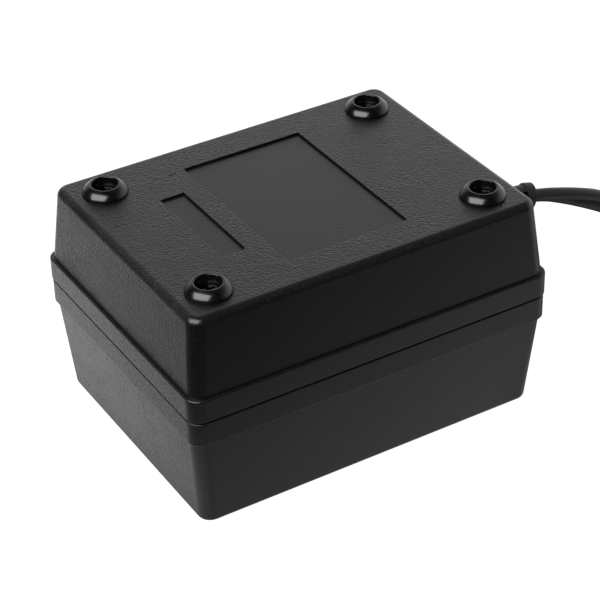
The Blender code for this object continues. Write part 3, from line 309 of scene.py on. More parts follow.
def coil_point(turn):
    """A point of the coil: three turns inwards on the floor, then two outwards on top of them."""
    radius = OUTER_TURN - PITCH * sum(eased(turn, *step) for step in STEPS_IN)
    radius += PITCH * sum(eased(turn, *step) for step in STEPS_OUT)
    radius -= TAIL_SHIFT * eased(turn, *SHIFT_TO_TAIL)
    height = LOW_LAYER + (TOP_LAYER - LOW_LAYER) * eased(turn, *RISE_TO_TOP)
    height += (TAIL_LEVEL - TOP_LAYER) * eased(turn, *RISE_TO_TAIL)
    degrees = COIL_START + 360 * turn
    from_tie = abs((degrees - TIE_ANGLE + 180) % 360 - 180)
    height += TIE_LIFT * (1 - eased(from_tie, *TIE_HUMP))
    angle = math.radians(degrees)
    return Vector((COIL_X + radius * math.cos(angle), COIL_Y + radius * math.sin(angle), height))


def tail_point(share):
    """A point of the last bend, which lies on the coil and rises to the plug."""
    angle = math.radians(TAIL_FROM * (1 - share))
    x, y = TAIL_X + TAIL_RADIUS * math.cos(angle), TAIL_Y + TAIL_RADIUS * math.sin(angle)
    return Vector((x, y, TAIL_LEVEL + PLUG_RISE * eased(share, *RISE_SHARES)))


lead_line = through([Vector(p) for p in CORD_ROUTE])
lead_line += [coil_point(i / STEPS_PER_TURN) for i in range(int(TURNS * STEPS_PER_TURN) + 1)]
lead_line += [tail_point(i / TAIL_STEPS) for i in range(1, TAIL_STEPS + 1)]
lead_line.append(lead_line[-1] + Vector((0, TAIL_STRAIGHT + INTO_PLUG, 0)))
lead_line = [p * MM for p in lead_line]

# %% [markdown]
# ## The lead's section
#
# Two round cores side by side, moulded into one, leave a groove along each side. The section is
# carried along the line by hand instead of by a curve's bevel, because its wide side has to lie as
# in the picture: it leaves the box nearly on edge to the viewer, and turns upright on its way down.

# %% Sweep of the lead
CORE_RADIUS, CORE_OFFSET = 1.6 * MM, 1.3 * MM
LEAD_WIDE_AT_BOX = Vector((-0.068, -0.855, 0.52))
UPRIGHT_FROM, UPRIGHT_BY = 2.0 * MM, 27.0 * MM  # lengths of lead from its start


def two_core_section(steps=11):
    """The outline of two round cores that run into each other, as (wide, thin) pairs."""
    reach = math.pi - math.acos(CORE_OFFSET / CORE_RADIUS)
    points = []
    for side in (1, -1):
        for i in range(steps):
            turn = -reach + 2 * reach * i / steps
            wide = side * (CORE_OFFSET + CORE_RADIUS * math.cos(turn))
            points.append((wide, side * CORE_RADIUS * math.sin(turn)))
    return points


section, sections, gone = two_core_section(), [], 0.0
behind, ahead = lead_line[:1] + lead_line[:-1], lead_line[1:] + lead_line[-1:]
for previous, point, following in zip(behind, lead_line, ahead):
    along = (following - previous).normalized()
    share = eased(gone, UPRIGHT_FROM, UPRIGHT_BY)
    wide = LEAD_WIDE_AT_BOX.lerp(Vector((0, 0, 1)), share)
    wide = (wide - along * wide.dot(along)).normalized()
    thin = along.cross(wide)
    sections.append([point + wide * a + thin * b for a, b in section])
    gone += (following - point).length
lead = loft("lead", sections, sharp=60.0)
print("lead:", len(lead.data.polygons), "faces")

# %% [markdown]
# ## Shader groups for shared effects
#
# Moulded plastic is never a flat colour. The mould's spark-eroded grain gives it a fine pebble, the
# flow of the plastic leaves broad soft patches, and handling leaves faint dull smudges. More than
# one finish has these, so each effect is a node group that is built once and placed with its own
# values. A few helpers first put a node, set its values and link it in one line.

# %% Node helpers
VALUE, VECTOR = "NodeSocketFloat", "NodeSocketVector"


def new_group(name, inputs, outputs):
    """An empty shader group with its sockets, and its input and output nodes."""
    group = bpy.data.node_groups.new(name, "ShaderNodeTree")
    for label, kind, value in inputs:
        socket = group.interface.new_socket(name=label, in_out="INPUT", socket_type=kind)
        socket.default_value = value
    for label in outputs:
        group.interface.new_socket(name=label, in_out="OUTPUT", socket_type=VALUE)
    return group, group.nodes.new("NodeGroupInput"), group.nodes.new("NodeGroupOutput")


def report(tree, name):
    """Print how large a node tree is."""
    print(name + ":", len(tree.nodes), "nodes")


def feed(tree, socket, value):
    """Link a value to a node's input where it is a socket, and set it otherwise."""
    if isinstance(value, bpy.types.NodeSocket):
        tree.links.new(value, socket)
    else:
        socket.default_value = value


def put(tree, kind, values=(), **settings):
    """A node with its settings, and with values or other nodes' outputs on its inputs."""
    node = tree.nodes.new(kind)
    for key, value in settings.items():
        setattr(node, key, value)
    for key, value in dict(values).items():
        feed(tree, node.inputs[key], value)
    return node


def maths(tree, operation, *values, clamp=False):
    """The result of a Math node."""
    node = put(tree, "ShaderNodeMath", enumerate(values), operation=operation, use_clamp=clamp)
    return node.outputs[0]


def ramp(tree, value, start, end, low=0.0, high=1.0):
    """The result of a Map Range node that takes start to low and end to high."""
    ends = {"From Min": start, "From Max": end, "To Min": low, "To Max": high}
    return put(tree, "ShaderNodeMapRange", {"Value": value, **ends}).outputs["Result"]


def noise(tree, place, scale, detail, roughness=0.5):
    """The grey value of a Noise Texture node."""
    values = {"Vector": place, "Scale": scale, "Detail": detail, "Roughness": roughness}
    return put(tree, "ShaderNodeTexNoise", values).outputs["Fac"]


# %% Moulded grain
GRAIN_MEAN = 0.7  # taken off the height, so that the grain can get deeper without rising
pebble, take, give = new_group(
    "moulded_grain",
    [("Place", VECTOR, (0, 0, 0)), ("Size", VALUE, 0.8), ("Roundness", VALUE, 0.5)],
    ["Height", "Hollows"],
)
place = take.outputs["Place"]
per_metre = maths(pebble, "DIVIDE", 1000.0, take.outputs["Size"])
cells = put(
    pebble,
    "ShaderNodeTexVoronoi",
    {"Vector": place, "Scale": per_metre, "Randomness": 1.0, "Smoothness": 0.7},
    feature="SMOOTH_F1",
)
fine = noise(pebble, place, maths(pebble, "MULTIPLY", per_metre, 0.9), 2.0, 0.55)
dome = maths(pebble, "SUBTRACT", 0.75, cells.outputs["Distance"])
domes = maths(pebble, "MULTIPLY", dome, take.outputs["Roundness"])
height = maths(pebble, "ADD", domes, fine)
worn = noise(pebble, place, maths(pebble, "MULTIPLY", per_metre, 0.07), 1.0)
depth = ramp(pebble, worn, 0.35, 0.62, 0.6, 1.35)
about_mean = maths(pebble, "SUBTRACT", height, GRAIN_MEAN)
feed(pebble, give.inputs["Height"], maths(pebble, "MULTIPLY", about_mean, depth))
hollows = maths(pebble, "SUBTRACT", cells.outputs["Distance"], 0.35, clamp=True)
feed(pebble, give.inputs["Hollows"], hollows)
report(pebble, "moulded grain")

# %% Handling marks
STREAK_SCALE, STREAK_TURN = (60, 420, 60), (0.2, 0.1, 0.6)
smudge, take, give = new_group(
    "handling",
    [("Place", VECTOR, (0, 0, 0)), ("Patch size", VALUE, 30.0), ("Amount", VALUE, 1.0)],
    ["Patches", "Scuffs"],
)
place, amount = take.outputs["Place"], take.outputs["Amount"]
per_metre = maths(smudge, "DIVIDE", 1000.0, take.outputs["Patch size"])
uneven = maths(smudge, "SUBTRACT", noise(smudge, place, per_metre, 3.0), 0.5)
feed(smudge, give.inputs["Patches"], maths(smudge, "MULTIPLY", uneven, amount))
stretch = {"Vector": place, "Scale": STREAK_SCALE, "Rotation": STREAK_TURN}
stretched = put(smudge, "ShaderNodeMapping", stretch).outputs["Vector"]
thin = ramp(smudge, noise(smudge, stretched, 1.0, 4.0), 0.66, 0.74)
feed(smudge, give.inputs["Scuffs"], maths(smudge, "MULTIPLY", thin, amount))
report(smudge, "handling marks")

# %% [markdown]
# ## Finishes
#
# Each finish is one Principled shader. Its fixed numbers, such as metal or coat, are set on its own
# sockets, and only what changes over the surface comes from nodes. The case's long front wall is
# smoother than its top, so a finish may weaken its grain there.

# %% Finish helper
FRONT_WALL, FRONT_END = -0.0346, -0.032  # Y in metres, from the weaker grain to the full one


def finish(name, colour, roughness, grain=None, mottling=0.1, patch=30.0, scuffs=0.0, metal=0.0,
           front=1.0, **extra):
    """A material that varies softly, with an optional grain: its strength, size and depth."""
    made = bpy.data.materials.new(name)
    made.use_nodes = True
    tree = made.node_tree
    shader = tree.nodes["Principled BSDF"]
    shader.inputs["Metallic"].default_value = metal
    for key, value in extra.items():
        shader.inputs[key.replace("_", " ")].default_value = value
    place = tree.nodes.new("ShaderNodeTexCoord").outputs["Object"]
    marks = tree.nodes.new("ShaderNodeGroup")
    marks.node_tree = smudge
    marks.inputs["Patch size"].default_value = patch
    feed(tree, marks.inputs["Place"], place)
    patches, scuffed = marks.outputs["Patches"], marks.outputs["Scuffs"]
    tone = maths(tree, "MULTIPLY_ADD", patches, mottling * 2, 1.0)
    tone = maths(tree, "MULTIPLY_ADD", scuffed, scuffs, tone)
    rough = maths(tree, "MULTIPLY_ADD", patches, mottling * 0.6, roughness)
    if grain:
        strength, size, deep = grain
        texture = tree.nodes.new("ShaderNodeGroup")
        texture.node_tree = pebble
        texture.inputs["Size"].default_value = size
        feed(tree, texture.inputs["Place"], place)
        hollows = texture.outputs["Hollows"]
        # the grain's hollows are painted darker, a painted shade in the pits; they are also rougher,
        # which is real
        tone = maths(tree, "MULTIPLY_ADD", hollows, -0.5 * strength, tone)
        rough = maths(tree, "MULTIPLY_ADD", hollows, 0.3 * strength, rough)
        from_front = put(tree, "ShaderNodeSeparateXYZ", {0: place}).outputs["Y"]
        depth = ramp(tree, from_front, FRONT_WALL, FRONT_END, front, 1.0)
        height = maths(tree, "MULTIPLY", texture.outputs["Height"], depth)
        bumps = {"Height": height, "Strength": strength, "Distance": deep * MM}
        bump = put(tree, "ShaderNodeBump", bumps)
        feed(tree, shader.inputs["Normal"], bump.outputs["Normal"])
    base = put(tree, "ShaderNodeVectorMath", {0: tuple(colour), "Scale": tone}, operation="SCALE")
    feed(tree, shader.inputs["Base Color"], base.outputs["Vector"])
    feed(tree, shader.inputs["Roughness"], rough)
    print("finish:", name)
    return made


# %% Plastics
CASE_COLOUR = (0.003, 0.003, 0.0034)
FINE_GRAIN = (0.3, 0.35, 0.02)
case_black = finish("case_black", CASE_COLOUR, 0.29, (1.0, 0.5, 0.12), mottling=0.12, scuffs=0.5,
                    front=0.2)
panel_black = finish("panel_black", CASE_COLOUR, 0.36, (0.5, 0.45, 0.07))
# near black with little shine: a painted shade for the panels' low walls
recess_edge = finish("recess_edge", (0.001, 0.001, 0.0011), 0.6, Specular_IOR_Level=0.12)
foot_black = finish("foot_black", (0.002, 0.002, 0.0023), 0.21, patch=4.0)
lead_vinyl = finish("lead_vinyl", (0.0125, 0.0113, 0.0145), 0.42, FINE_GRAIN, mottling=0.12,
                    patch=12.0)
relief_vinyl = finish("relief_vinyl", (0.006, 0.0058, 0.0063), 0.55, FINE_GRAIN)
outlet_black = finish("outlet_black", (0.011, 0.011, 0.011), 0.32, (0.2, 0.5, 0.02))
tape_amber = finish("tape_amber", (0.55, 0.36, 0.06), 0.3, mottling=0.12, patch=7.0)
bobbin_nylon = finish("bobbin_nylon", (0.5, 0.48, 0.42), 0.5, (0.15, 0.6, 0.02), mottling=0.08,
                      patch=8.0)
foam_grey = finish("foam_grey", (0.05, 0.05, 0.055), 0.95, (1.0, 0.9, 0.25), mottling=0.15)
WIRES = {"red": (0.42, 0.025, 0.02), "black": (0.012, 0.012, 0.012), "white": (0.62, 0.61, 0.57)}
wire = {name: finish("wire_" + name, colour, 0.4, patch=5.0) for name, colour in WIRES.items()}

# %% Metals
screw_black = finish("screw_black", (0.06, 0.056, 0.04), 0.12, (0.3, 0.25, 0.01), metal=1.0,
                     mottling=0.3, patch=1.5)
zinc_steel = finish("zinc_steel", (0.55, 0.54, 0.5), 0.38, metal=1.0, mottling=0.2, patch=5.0,
                    scuffs=0.4)
nickel = finish("nickel", (0.66, 0.63, 0.57), 0.22, metal=1.0, mottling=0.15, patch=4.0,
                scuffs=0.3)
brass = finish("brass", (0.78, 0.56, 0.24), 0.28, metal=1.0, mottling=0.15, patch=3.0)
core_steel = finish("core_steel", (0.23, 0.23, 0.25), 0.5, metal=1.0, mottling=0.35, patch=6.0,
                    scuffs=0.8)
copper = finish("copper", (0.72, 0.25, 0.10), 0.25, metal=1.0, mottling=0.12, patch=6.0,
                Coat_Weight=0.6, Coat_Roughness=0.15)

# %% [markdown]
# ## The case
#
# The two shells are drafted boxes: their walls lean in away from the seam, so that the mould opens,
# and a band stands out round the seam. Stacked outlines with a corner radius give such a form
# exactly, with more steps in the roundings than the CAD solids need. Booleans then cut the inside,
# the screw columns' holes, the two shallow panels and the openings for the lead and the outlet.

# %% Sizes of the case
LENGTH, WIDTH, HEIGHT = 100.0 * MM, 76.3 * MM, 58.0 * MM
SEAM = 31.7 * MM
GAP, SEAM_GAP = 0.3 * MM, 0.44 * MM
BAND_TOP, BAND_BOTTOM = SEAM + 6.4 * MM, SEAM - 6.6 * MM
BAND_STEP, COVER_STEP = 0.8 * MM, 0.15 * MM
BASE_DRAFT, COVER_DRAFT = 0.097, 0.083
WALL, PLATE = 2.4 * MM, 2.5 * MM
CORNER, LEAST_CORNER = 3.5 * MM, 0.6 * MM
TOP_FILLET, BOTTOM_FILLET = 2.0 * MM, 1.2 * MM
SEAM_EDGE, BAND_EDGE = 0.25 * MM, 0.45 * MM
LIP, LIP_HEIGHT = 1.3 * MM, 2.0 * MM
INNER = BAND_STEP + WALL
OVER = 1.0 * MM  # how far a cut reaches past what it cuts
FOOT_X, FOOT_Y = 37.75 * MM, 25.8 * MM
COLUMN, COVER_COLUMN, SCREW_HOLE = 5.7 * MM, 4.0 * MM, 1.75 * MM  # radii
print("case:", [round(size / MM, 1) for size in (LENGTH, WIDTH, HEIGHT)], "mm")


def case_ring(inset, height, rounding=0.0):
    """An outline of the case, set in from the band's face."""
    corner = max(CORNER - rounding, LEAST_CORNER)
    return [(x, y, height) for x, y in rounded(LENGTH / 2 - inset, WIDTH / 2 - inset, corner)]


def base_inset(height):
    """How far the wall of the half with the feet is set in at a height."""
    return BAND_STEP + BASE_DRAFT * max(height - BAND_TOP, 0.0)


def cover_inset(height):
    """How far the cover's wall is set in at a height."""
    return BAND_STEP + COVER_DRAFT * max(BAND_BOTTOM - height, 0.0)


def widening(steps, size, inset, level):
    """Outlines up a rounded edge that gets wider."""
    edges = [(size * (1 - s), size * (1 - c)) for s, c in arc(steps)]
    return [case_ring(inset + edge, level + rise, edge) for edge, rise in edges]


def narrowing(steps, size, inset, level):
    """Outlines up a rounded edge that gets narrower and ends at a level."""
    edges = [(size * (1 - c), size * (1 - s)) for s, c in arc(steps)]
    return [case_ring(inset + edge, level - drop, edge) for edge, drop in edges]


def rods(name, radius, low, high, steps=40):
    """An upright rod in each corner."""
    profile = [(0, low), (radius, low), (radius, high), (0, high)]
    places = [(sx * FOOT_X, sy * FOOT_Y, 0) for sx in (-1, 1) for sy in (-1, 1)]
    return [lathe(name, profile, steps, Matrix.Translation(place)) for place in places]


# %% The half with the feet, hollow
bottom = SEAM + SEAM_GAP / 2
shoulder = HEIGHT - TOP_FILLET
rings = widening(3, SEAM_EDGE, 0, bottom) + narrowing(4, BAND_EDGE, 0, BAND_TOP)
rings.append(case_ring(BAND_STEP, BAND_TOP))
rings += [case_ring(base_inset(z), z) for z in (BAND_TOP + 0.4 * MM, shoulder - 1.0 * MM)]
rings += narrowing(9, TOP_FILLET, base_inset(shoulder), HEIGHT)
base = loft("base_case", rings)
ceiling = HEIGHT - PLATE
cavity = loft("cavity", [
    case_ring(INNER, bottom - OVER, WALL),
    case_ring(INNER, BAND_TOP, WALL),
    case_ring(base_inset(ceiling) + WALL, ceiling, WALL),
])
rebate_levels = (bottom - OVER, SEAM + LIP_HEIGHT + GAP)
rebate = loft("rebate", [case_ring(INNER - LIP - GAP, z, WALL) for z in rebate_levels])
boolean(base, "DIFFERENCE", [cavity, rebate])
boolean(base, "UNION", rods("column", COLUMN, bottom, HEIGHT - PLATE / 2))
print("hollow base case:", len(base.data.polygons), "faces")

# %% Its panels, holes and mould mark
SEAT, SEAT_DEPTH, SHANK_END = 4.6 * MM, 3.4 * MM, 3.0 * MM
PANELS = [(0.0, 33.0 * MM, 50.0 * MM), (-25.2 * MM, 6.5 * MM, 30.0 * MM)]  # x, length, width
PANEL_DEPTH = 0.6 * MM
PANEL_EDGE = [(0, -PANEL_DEPTH), (0, -0.07 * MM), (0.35 * MM, 0.07 * MM)]  # outwards and up
SQUARE = [(-1, -1), (1, -1), (1, 1), (-1, 1)]
MARK_LOW = (-21.4 * MM, 23.95 * MM, HEIGHT - 0.25 * MM)
MARK_HIGH = (-19.1 * MM, 24.25 * MM, HEIGHT + OVER)
RELIEF_Y, RELIEF_Z, LEAD_HOLE = -21.8 * MM, 50.8 * MM, 3.2 * MM


def panel_ring(x, length, width, out, up):
    """An outline of a panel, out beyond its edge and up from the face with the feet."""
    return [(x + sx * (length / 2 + out), sy * (width / 2 + out), HEIGHT + up) for sx, sy in SQUARE]


cuts = rods("seat", SEAT, HEIGHT - SEAT_DEPTH, HEIGHT + OVER)
cuts += rods("shank", SCREW_HOLE, bottom - OVER, HEIGHT - SHANK_END, 24)
cuts.append(box("mould_mark", MARK_LOW, MARK_HIGH))
for panel in PANELS:
    cuts.append(loft("panel", [panel_ring(*panel, *level) for level in PANEL_EDGE]))
lean = math.atan(BASE_DRAFT)
relief_axis = Vector((math.cos(lean), 0, math.sin(lean)))
relief_start = Vector((LENGTH / 2 - base_inset(RELIEF_Z), RELIEF_Y, RELIEF_Z))
leaning = relief_axis.to_track_quat("Z", "Y").to_matrix().to_4x4()
hole = [(0, -WALL - OVER), (LEAD_HOLE, -WALL - OVER), (LEAD_HOLE, OVER), (0, OVER)]
cuts.append(lathe("lead_hole", hole, 40, Matrix.Translation(relief_start) @ leaning))
carve(base, cuts)
print("base case:", len(base.data.polygons), "faces")

# %% The outside of the cover
seam = SEAM - SEAM_GAP / 2
lip_top = SEAM + LIP_HEIGHT
rings = widening(6, BOTTOM_FILLET, cover_inset(BOTTOM_FILLET), 0)
rings += [case_ring(cover_inset(z), z) for z in (2.5 * MM, BAND_BOTTOM - 0.4 * MM)]
rings.append(case_ring(BAND_STEP, BAND_BOTTOM))
rings += widening(4, BAND_EDGE, COVER_STEP, BAND_BOTTOM)
rings += narrowing(3, SEAM_EDGE, COVER_STEP, seam)
rings += [case_ring(INNER - LIP, z, WALL) for z in (seam, lip_top)]
cover = loft("cover_case", rings)
print("outside:", len(rings), "outlines")

# %% Its inside, and the window for the outlet
OUTLET_Y, OUTLET_Z = 6.7 * MM, 12.8 * MM
OUTLET_WIDTH, OUTLET_HEIGHT, OUTLET_CORNER = 26.0 * MM, 16.4 * MM, 3.0 * MM
FLANGE_BOTTOM, PILOT_BOTTOM = 3.3 * MM, 19.8 * MM
OUTLET_STOP = LENGTH / 2 - cover_inset(FLANGE_BOTTOM) - WALL - GAP


def outlet_ring(out, x):
    """An outline of the outlet, out beyond its edge."""
    pairs = rounded(OUTLET_WIDTH / 2 + out, OUTLET_HEIGHT / 2 + out, OUTLET_CORNER + out)
    return [(x, OUTLET_Y + a, OUTLET_Z + b) for a, b in pairs]


cavity = loft("cavity", [
    case_ring(cover_inset(PLATE) + WALL, PLATE, WALL),
    case_ring(INNER, BAND_BOTTOM, WALL),
    case_ring(INNER, lip_top + OVER, WALL),
])
boolean(cover, "DIFFERENCE", [cavity])
boolean(cover, "UNION", rods("column", COVER_COLUMN, PLATE / 2, seam))
cuts = rods("pilot", SCREW_HOLE, PILOT_BOTTOM, seam + OVER, 24)
cuts.append(loft("window", [outlet_ring(GAP, x) for x in (OUTLET_STOP, LENGTH / 2)]))
carve(cover, cuts)
print("cover case:", len(cover.data.polygons), "faces")

# %% [markdown]
# The panels' floors are smoother than the face round them, and their low walls get a near-black
# finish with little shine, a painted shade that keeps them dark whatever the light. One mesh can
# have several materials, so the faces there are picked out by their depth below the face with the
# feet.

# %% Give the shells their finishes
PANEL_FLOOR, PANEL_WALL = 1, 2  # places in the list of materials
MIDDLE_X, MIDDLE_Y = 30 * MM, 26 * MM  # the panels lie inside these, and the feet outside
SHALLOW, LEVEL = 0.05 * MM, 0.02 * MM
even_out(base)
even_out(cover)
settle(base, case_black, "base_shell", slot="case")
settle(cover, case_black, "cover_shell", slot="case")
base.data.materials.append(panel_black)
base.data.materials.append(recess_edge)
for face in base.data.polygons:
    sunk = HEIGHT - face.center.z
    in_middle = abs(face.center.x) < MIDDLE_X and abs(face.center.y) < MIDDLE_Y
    if abs(sunk - PANEL_DEPTH) < LEVEL and face.normal.z > 0.9:
        face.material_index = PANEL_FLOOR
    # the low walls take the near-black painted shade
    elif in_middle and SHALLOW < sunk < PANEL_DEPTH and abs(face.normal.z) < 0.5:
        face.material_index = PANEL_WALL
print("panel faces:", sum(face.material_index > 0 for face in base.data.polygons))

# %% [markdown]
# ## Growing what repeats
#
# The box has four equal feet and screws, a core of sixty layers of sheets, and a plug with ribs.
# Copies by hand would do, but Geometry Nodes say the rule once: a tree takes one piece, puts it on
# points, and its named inputs hold the sizes. The tree's result is then taken as a plain mesh, and
# the tree is taken off.

# %% Geometry Nodes helpers
WHOLE, THING, MATERIAL = "NodeSocketInt", "NodeSocketObject", "NodeSocketMaterial"


def new_tree(name, inputs):
    """An empty geometry tree with named inputs, and its input and output nodes."""
    tree = bpy.data.node_groups.new(name, "GeometryNodeTree")
    shape = "NodeSocketGeometry"
    for label, kind in [("Geometry", shape), ("Piece", THING), *inputs, ("Material", MATERIAL)]:
        tree.interface.new_socket(name=label, in_out="INPUT", socket_type=kind)
    tree.interface.new_socket(name="Geometry", in_out="OUTPUT", socket_type=shape)
    return tree, tree.nodes.new("NodeGroupInput"), tree.nodes.new("NodeGroupOutput")


def copy_onto(tree, take, give, points, **more):
    """Put the piece on points, make the copies real, set their material and hand them out."""
    source = {"Object": take.outputs["Piece"], "As Instance": True}
    piece = put(tree, "GeometryNodeObjectInfo", source).outputs["Geometry"]
    copies = {"Points": points, "Instance": piece, **more}
    placed = put(tree, "GeometryNodeInstanceOnPoints", copies).outputs[0]
    real = put(tree, "GeometryNodeRealizeInstances", {"Geometry": placed}).outputs[0]
    dress = {"Geometry": real, "Material": take.outputs["Material"]}
    dressed = put(tree, "GeometryNodeSetMaterial", dress).outputs[0]
    feed(tree, give.inputs["Geometry"], dressed)


def grow(name, tree, **values):
    """A plain mesh that a geometry tree makes from its named inputs."""
    thing = add_object(name, bpy.data.meshes.new(name))
    change = thing.modifiers.new("tree", "NODES")
    change.node_group = tree
    for item in tree.interface.items_tree:
        key = item.name.replace(" ", "_")
        if item.in_out == "INPUT" and key in values:
            change[item.identifier] = values[key]
    bake(thing)
    bpy.data.objects.remove(values["Piece"], do_unlink=True)
    return thing


# %% A piece on each corner
inputs = [("Apart X", VALUE), ("Apart Y", VALUE), ("Height", VALUE)]
on_corners, take, give = new_tree("on_corners", inputs)
apart = {"Size X": take.outputs["Apart X"], "Size Y": take.outputs["Apart Y"]}
four = {**apart, "Vertices X": 2, "Vertices Y": 2}
grid = put(on_corners, "GeometryNodeMeshGrid", four).outputs["Mesh"]
lift = put(on_corners, "ShaderNodeCombineXYZ", {"Z": take.outputs["Height"]}).outputs[0]
lifted = {"Geometry": grid, "Offset": lift}
raised = put(on_corners, "GeometryNodeSetPosition", lifted).outputs[0]
copy_onto(on_corners, take, give, raised)
report(on_corners, "a piece on each corner")

# %% A piece in a row
inputs = [("Count", WHOLE), ("Start", VECTOR), ("Step", VECTOR), ("Last size", VALUE)]
in_a_row, take, give = new_tree("in_a_row", inputs)
count = take.outputs["Count"]
line = {"Count": count, "Start Location": take.outputs["Start"], "Offset": take.outputs["Step"]}
row = put(in_a_row, "GeometryNodeMeshLine", line).outputs["Mesh"]
index = in_a_row.nodes.new("GeometryNodeInputIndex").outputs[0]
share = maths(in_a_row, "DIVIDE", index, maths(in_a_row, "SUBTRACT", count, 1.0))
more = maths(in_a_row, "SUBTRACT", take.outputs["Last size"], 1.0)
growth = maths(in_a_row, "MULTIPLY_ADD", more, share, 1.0)
scale = put(in_a_row, "ShaderNodeCombineXYZ", {"X": growth, "Y": 1.0, "Z": growth}).outputs[0]
copy_onto(in_a_row, take, give, row, Scale=scale)
report(in_a_row, "a piece in a row")

# %% [markdown]
# ## Feet and their screws
#
# The feet are glossy rings pressed into the shell, and a long black screw runs down each one. Their
# flank is nearly a cone, with a narrow rounded rim that catches a thin line of light. A profile
# turned about an axis gives one foot, and the tree above puts it on the four corners.

# %% Feet, in millimetres from the face that carries them
FOOT_RADIUS, FOOT_HEIGHT, FOOT_HOLE = 5.7, 2.3, 3.25
FOOT_CLEAR, RIM_OUT, RIM_EDGE = 0.06, 3.95, 0.22
FLANK = [(FOOT_RADIUS, 0.34), (5.1, 1.6), (RIM_OUT, 2.2)]  # it bends towards the middle one
FLANK_STEPS = 8
SPIGOT, SPIGOT_END, SHANK_HOLE, HEAD_SEAT = 4.3, -3.1, 1.75, -1.9
profile = [(SHANK_HOLE, SPIGOT_END), (SPIGOT, SPIGOT_END), (SPIGOT, FOOT_CLEAR)]
profile += [(FOOT_RADIUS - 0.08, FOOT_CLEAR), (FOOT_RADIUS, 0.14), FLANK[0]]
for i in range(1, FLANK_STEPS + 1):
    t = i / FLANK_STEPS
    weights = ((1 - t) ** 2, 2 * t * (1 - t), t * t)
    profile.append([sum(p[axis] * w for p, w in zip(FLANK, weights)) for axis in (0, 1)])
profile += [(RIM_OUT - 0.1, FOOT_HEIGHT - 0.03), (RIM_OUT - RIM_EDGE, FOOT_HEIGHT)]
profile.append((FOOT_HOLE + RIM_EDGE, FOOT_HEIGHT))
for s, c in arc(3)[1:]:
    profile.append((FOOT_HOLE + RIM_EDGE * (1 - s), FOOT_HEIGHT - RIM_EDGE * (1 - c)))
profile += [(FOOT_HOLE, HEAD_SEAT + 0.2), (FOOT_HOLE - 0.2, HEAD_SEAT), (SHANK_HOLE, HEAD_SEAT)]
one_foot = lathe("one_foot", [(r * MM, z * MM) for r, z in profile], 64, sharp=50.0)
corner_places = {"Apart_X": 2 * FOOT_X, "Apart_Y": 2 * FOOT_Y, "Height": HEIGHT}
feet = grow("feet", on_corners, Piece=one_foot, Material=foot_black, **corner_places)
FOOT_NODES = ["foot_left_front", "foot_left_back", "foot_right_front", "foot_right_back"]
settle(feet, None, *FOOT_NODES, slot="feet")

# %% Screws, in millimetres from the same face
HEAD, HEAD_BOTTOM, HEAD_EDGE, HEAD_RISE = 2.75, -1.6, -0.65, 0.95
HEAD_FLAT = 1.4  # the radius at which the head's rounding ends
SHANK, POINT, TIP, POINT_LENGTH = 1.45, -37.6, 0.5, 1.2
SLOT_REACH, SLOT_HALF, SLOT_FLOOR = 1.7, 0.4, -0.75
profile = [(0, POINT), (TIP, POINT), (SHANK, POINT + POINT_LENGTH), (SHANK, HEAD_BOTTOM)]
profile += [(HEAD, HEAD_BOTTOM), (HEAD, HEAD_EDGE)]
for s, c in arc(6)[1:]:
    profile.append((HEAD_FLAT + (HEAD - HEAD_FLAT) * c, HEAD_EDGE + HEAD_RISE * s))
profile.append((0, 0.3))
one_screw = lathe("one_screw", [(r * MM, z * MM) for r, z in profile], 40)
recess = []
for x, y in ((SLOT_REACH, SLOT_HALF), (SLOT_HALF, SLOT_REACH)):
    recess.append(box("recess", (-x * MM, -y * MM, SLOT_FLOOR * MM), (x * MM, y * MM, 1 * MM)))
carve(one_screw, recess)
screws = grow("case_screws", on_corners, Piece=one_screw, Material=screw_black, **corner_places)
screw_nodes = [name.replace("foot", "case_screw") for name in FOOT_NODES]
settle(screws, None, *screw_nodes, slot="screws")

# %% [markdown]
# ## The strain relief
#
# A short sleeve is moulded round the lead where it leaves the box, so that a bend doesn't break the
# cores at the wall. It has a collar at the wall, a slot on each side that lets it give, and a round
# end. Its axis starts square to the leaning wall and bends down and aside, so the rings of the loft
# are set along a bending line instead of a straight one.

# %% Strain relief
RELIEF_LENGTH = 7.1 * MM
YAW, DROOP = math.radians(12), math.radians(12)
STOP = [(-4.2, 3.8), (-3.8, 4.2), (-2.7, 4.2), (-2.7, 2.9), (0.1, 2.9)]  # distance, radius
COLLAR = [(0.1, 3.7), (0.25, 3.8), (0.8, 3.8), (1.0, 3.72), (1.5, 3.5), (2.2, 3.22)]
SLEEVE = [(2.6, 3.0), (4.7, 3.0)]
END_RING = [(4.8, 3.3), (5.0, 3.4), (6.7, 3.4), (6.9, 3.33), (7.05, 3.15), (7.1, 2.9)]
SLOT_SPAN = (2.5, 4.9)
SLOT_NEAR, SLOT_FAR, SLOT_DOWN, SLOT_UP = 0.9, 4.5, 1.8, 2.4  # from the axis
relief_end = Vector((
    math.cos(DROOP) * math.cos(YAW), -math.cos(DROOP) * math.sin(YAW), -math.sin(DROOP)
))


def relief_place(distance):
    """The axis's point at a distance from the wall, in mm, with its side and its upper side."""
    share = distance * MM / RELIEF_LENGTH
    if share <= 0:
        point, along = relief_start + relief_axis * distance * MM, relief_axis
    else:
        along = relief_axis.lerp(relief_end, share).normalized()
        bent = share * share / 2
        point = relief_start + (relief_axis * (share - bent) + relief_end * bent) * RELIEF_LENGTH
    side = along.cross(Vector((0, 0, 1))).normalized()
    return point, side, side.cross(along)


def relief_ring(distance, radius, steps=48):
    """A ring about the relief's axis at a distance from the wall, both in mm."""
    point, side, above = relief_place(distance)
    turns = [2 * math.pi * i / steps for i in range(steps)]
    return [point + (side * math.cos(t) + above * math.sin(t)) * radius * MM for t in turns]


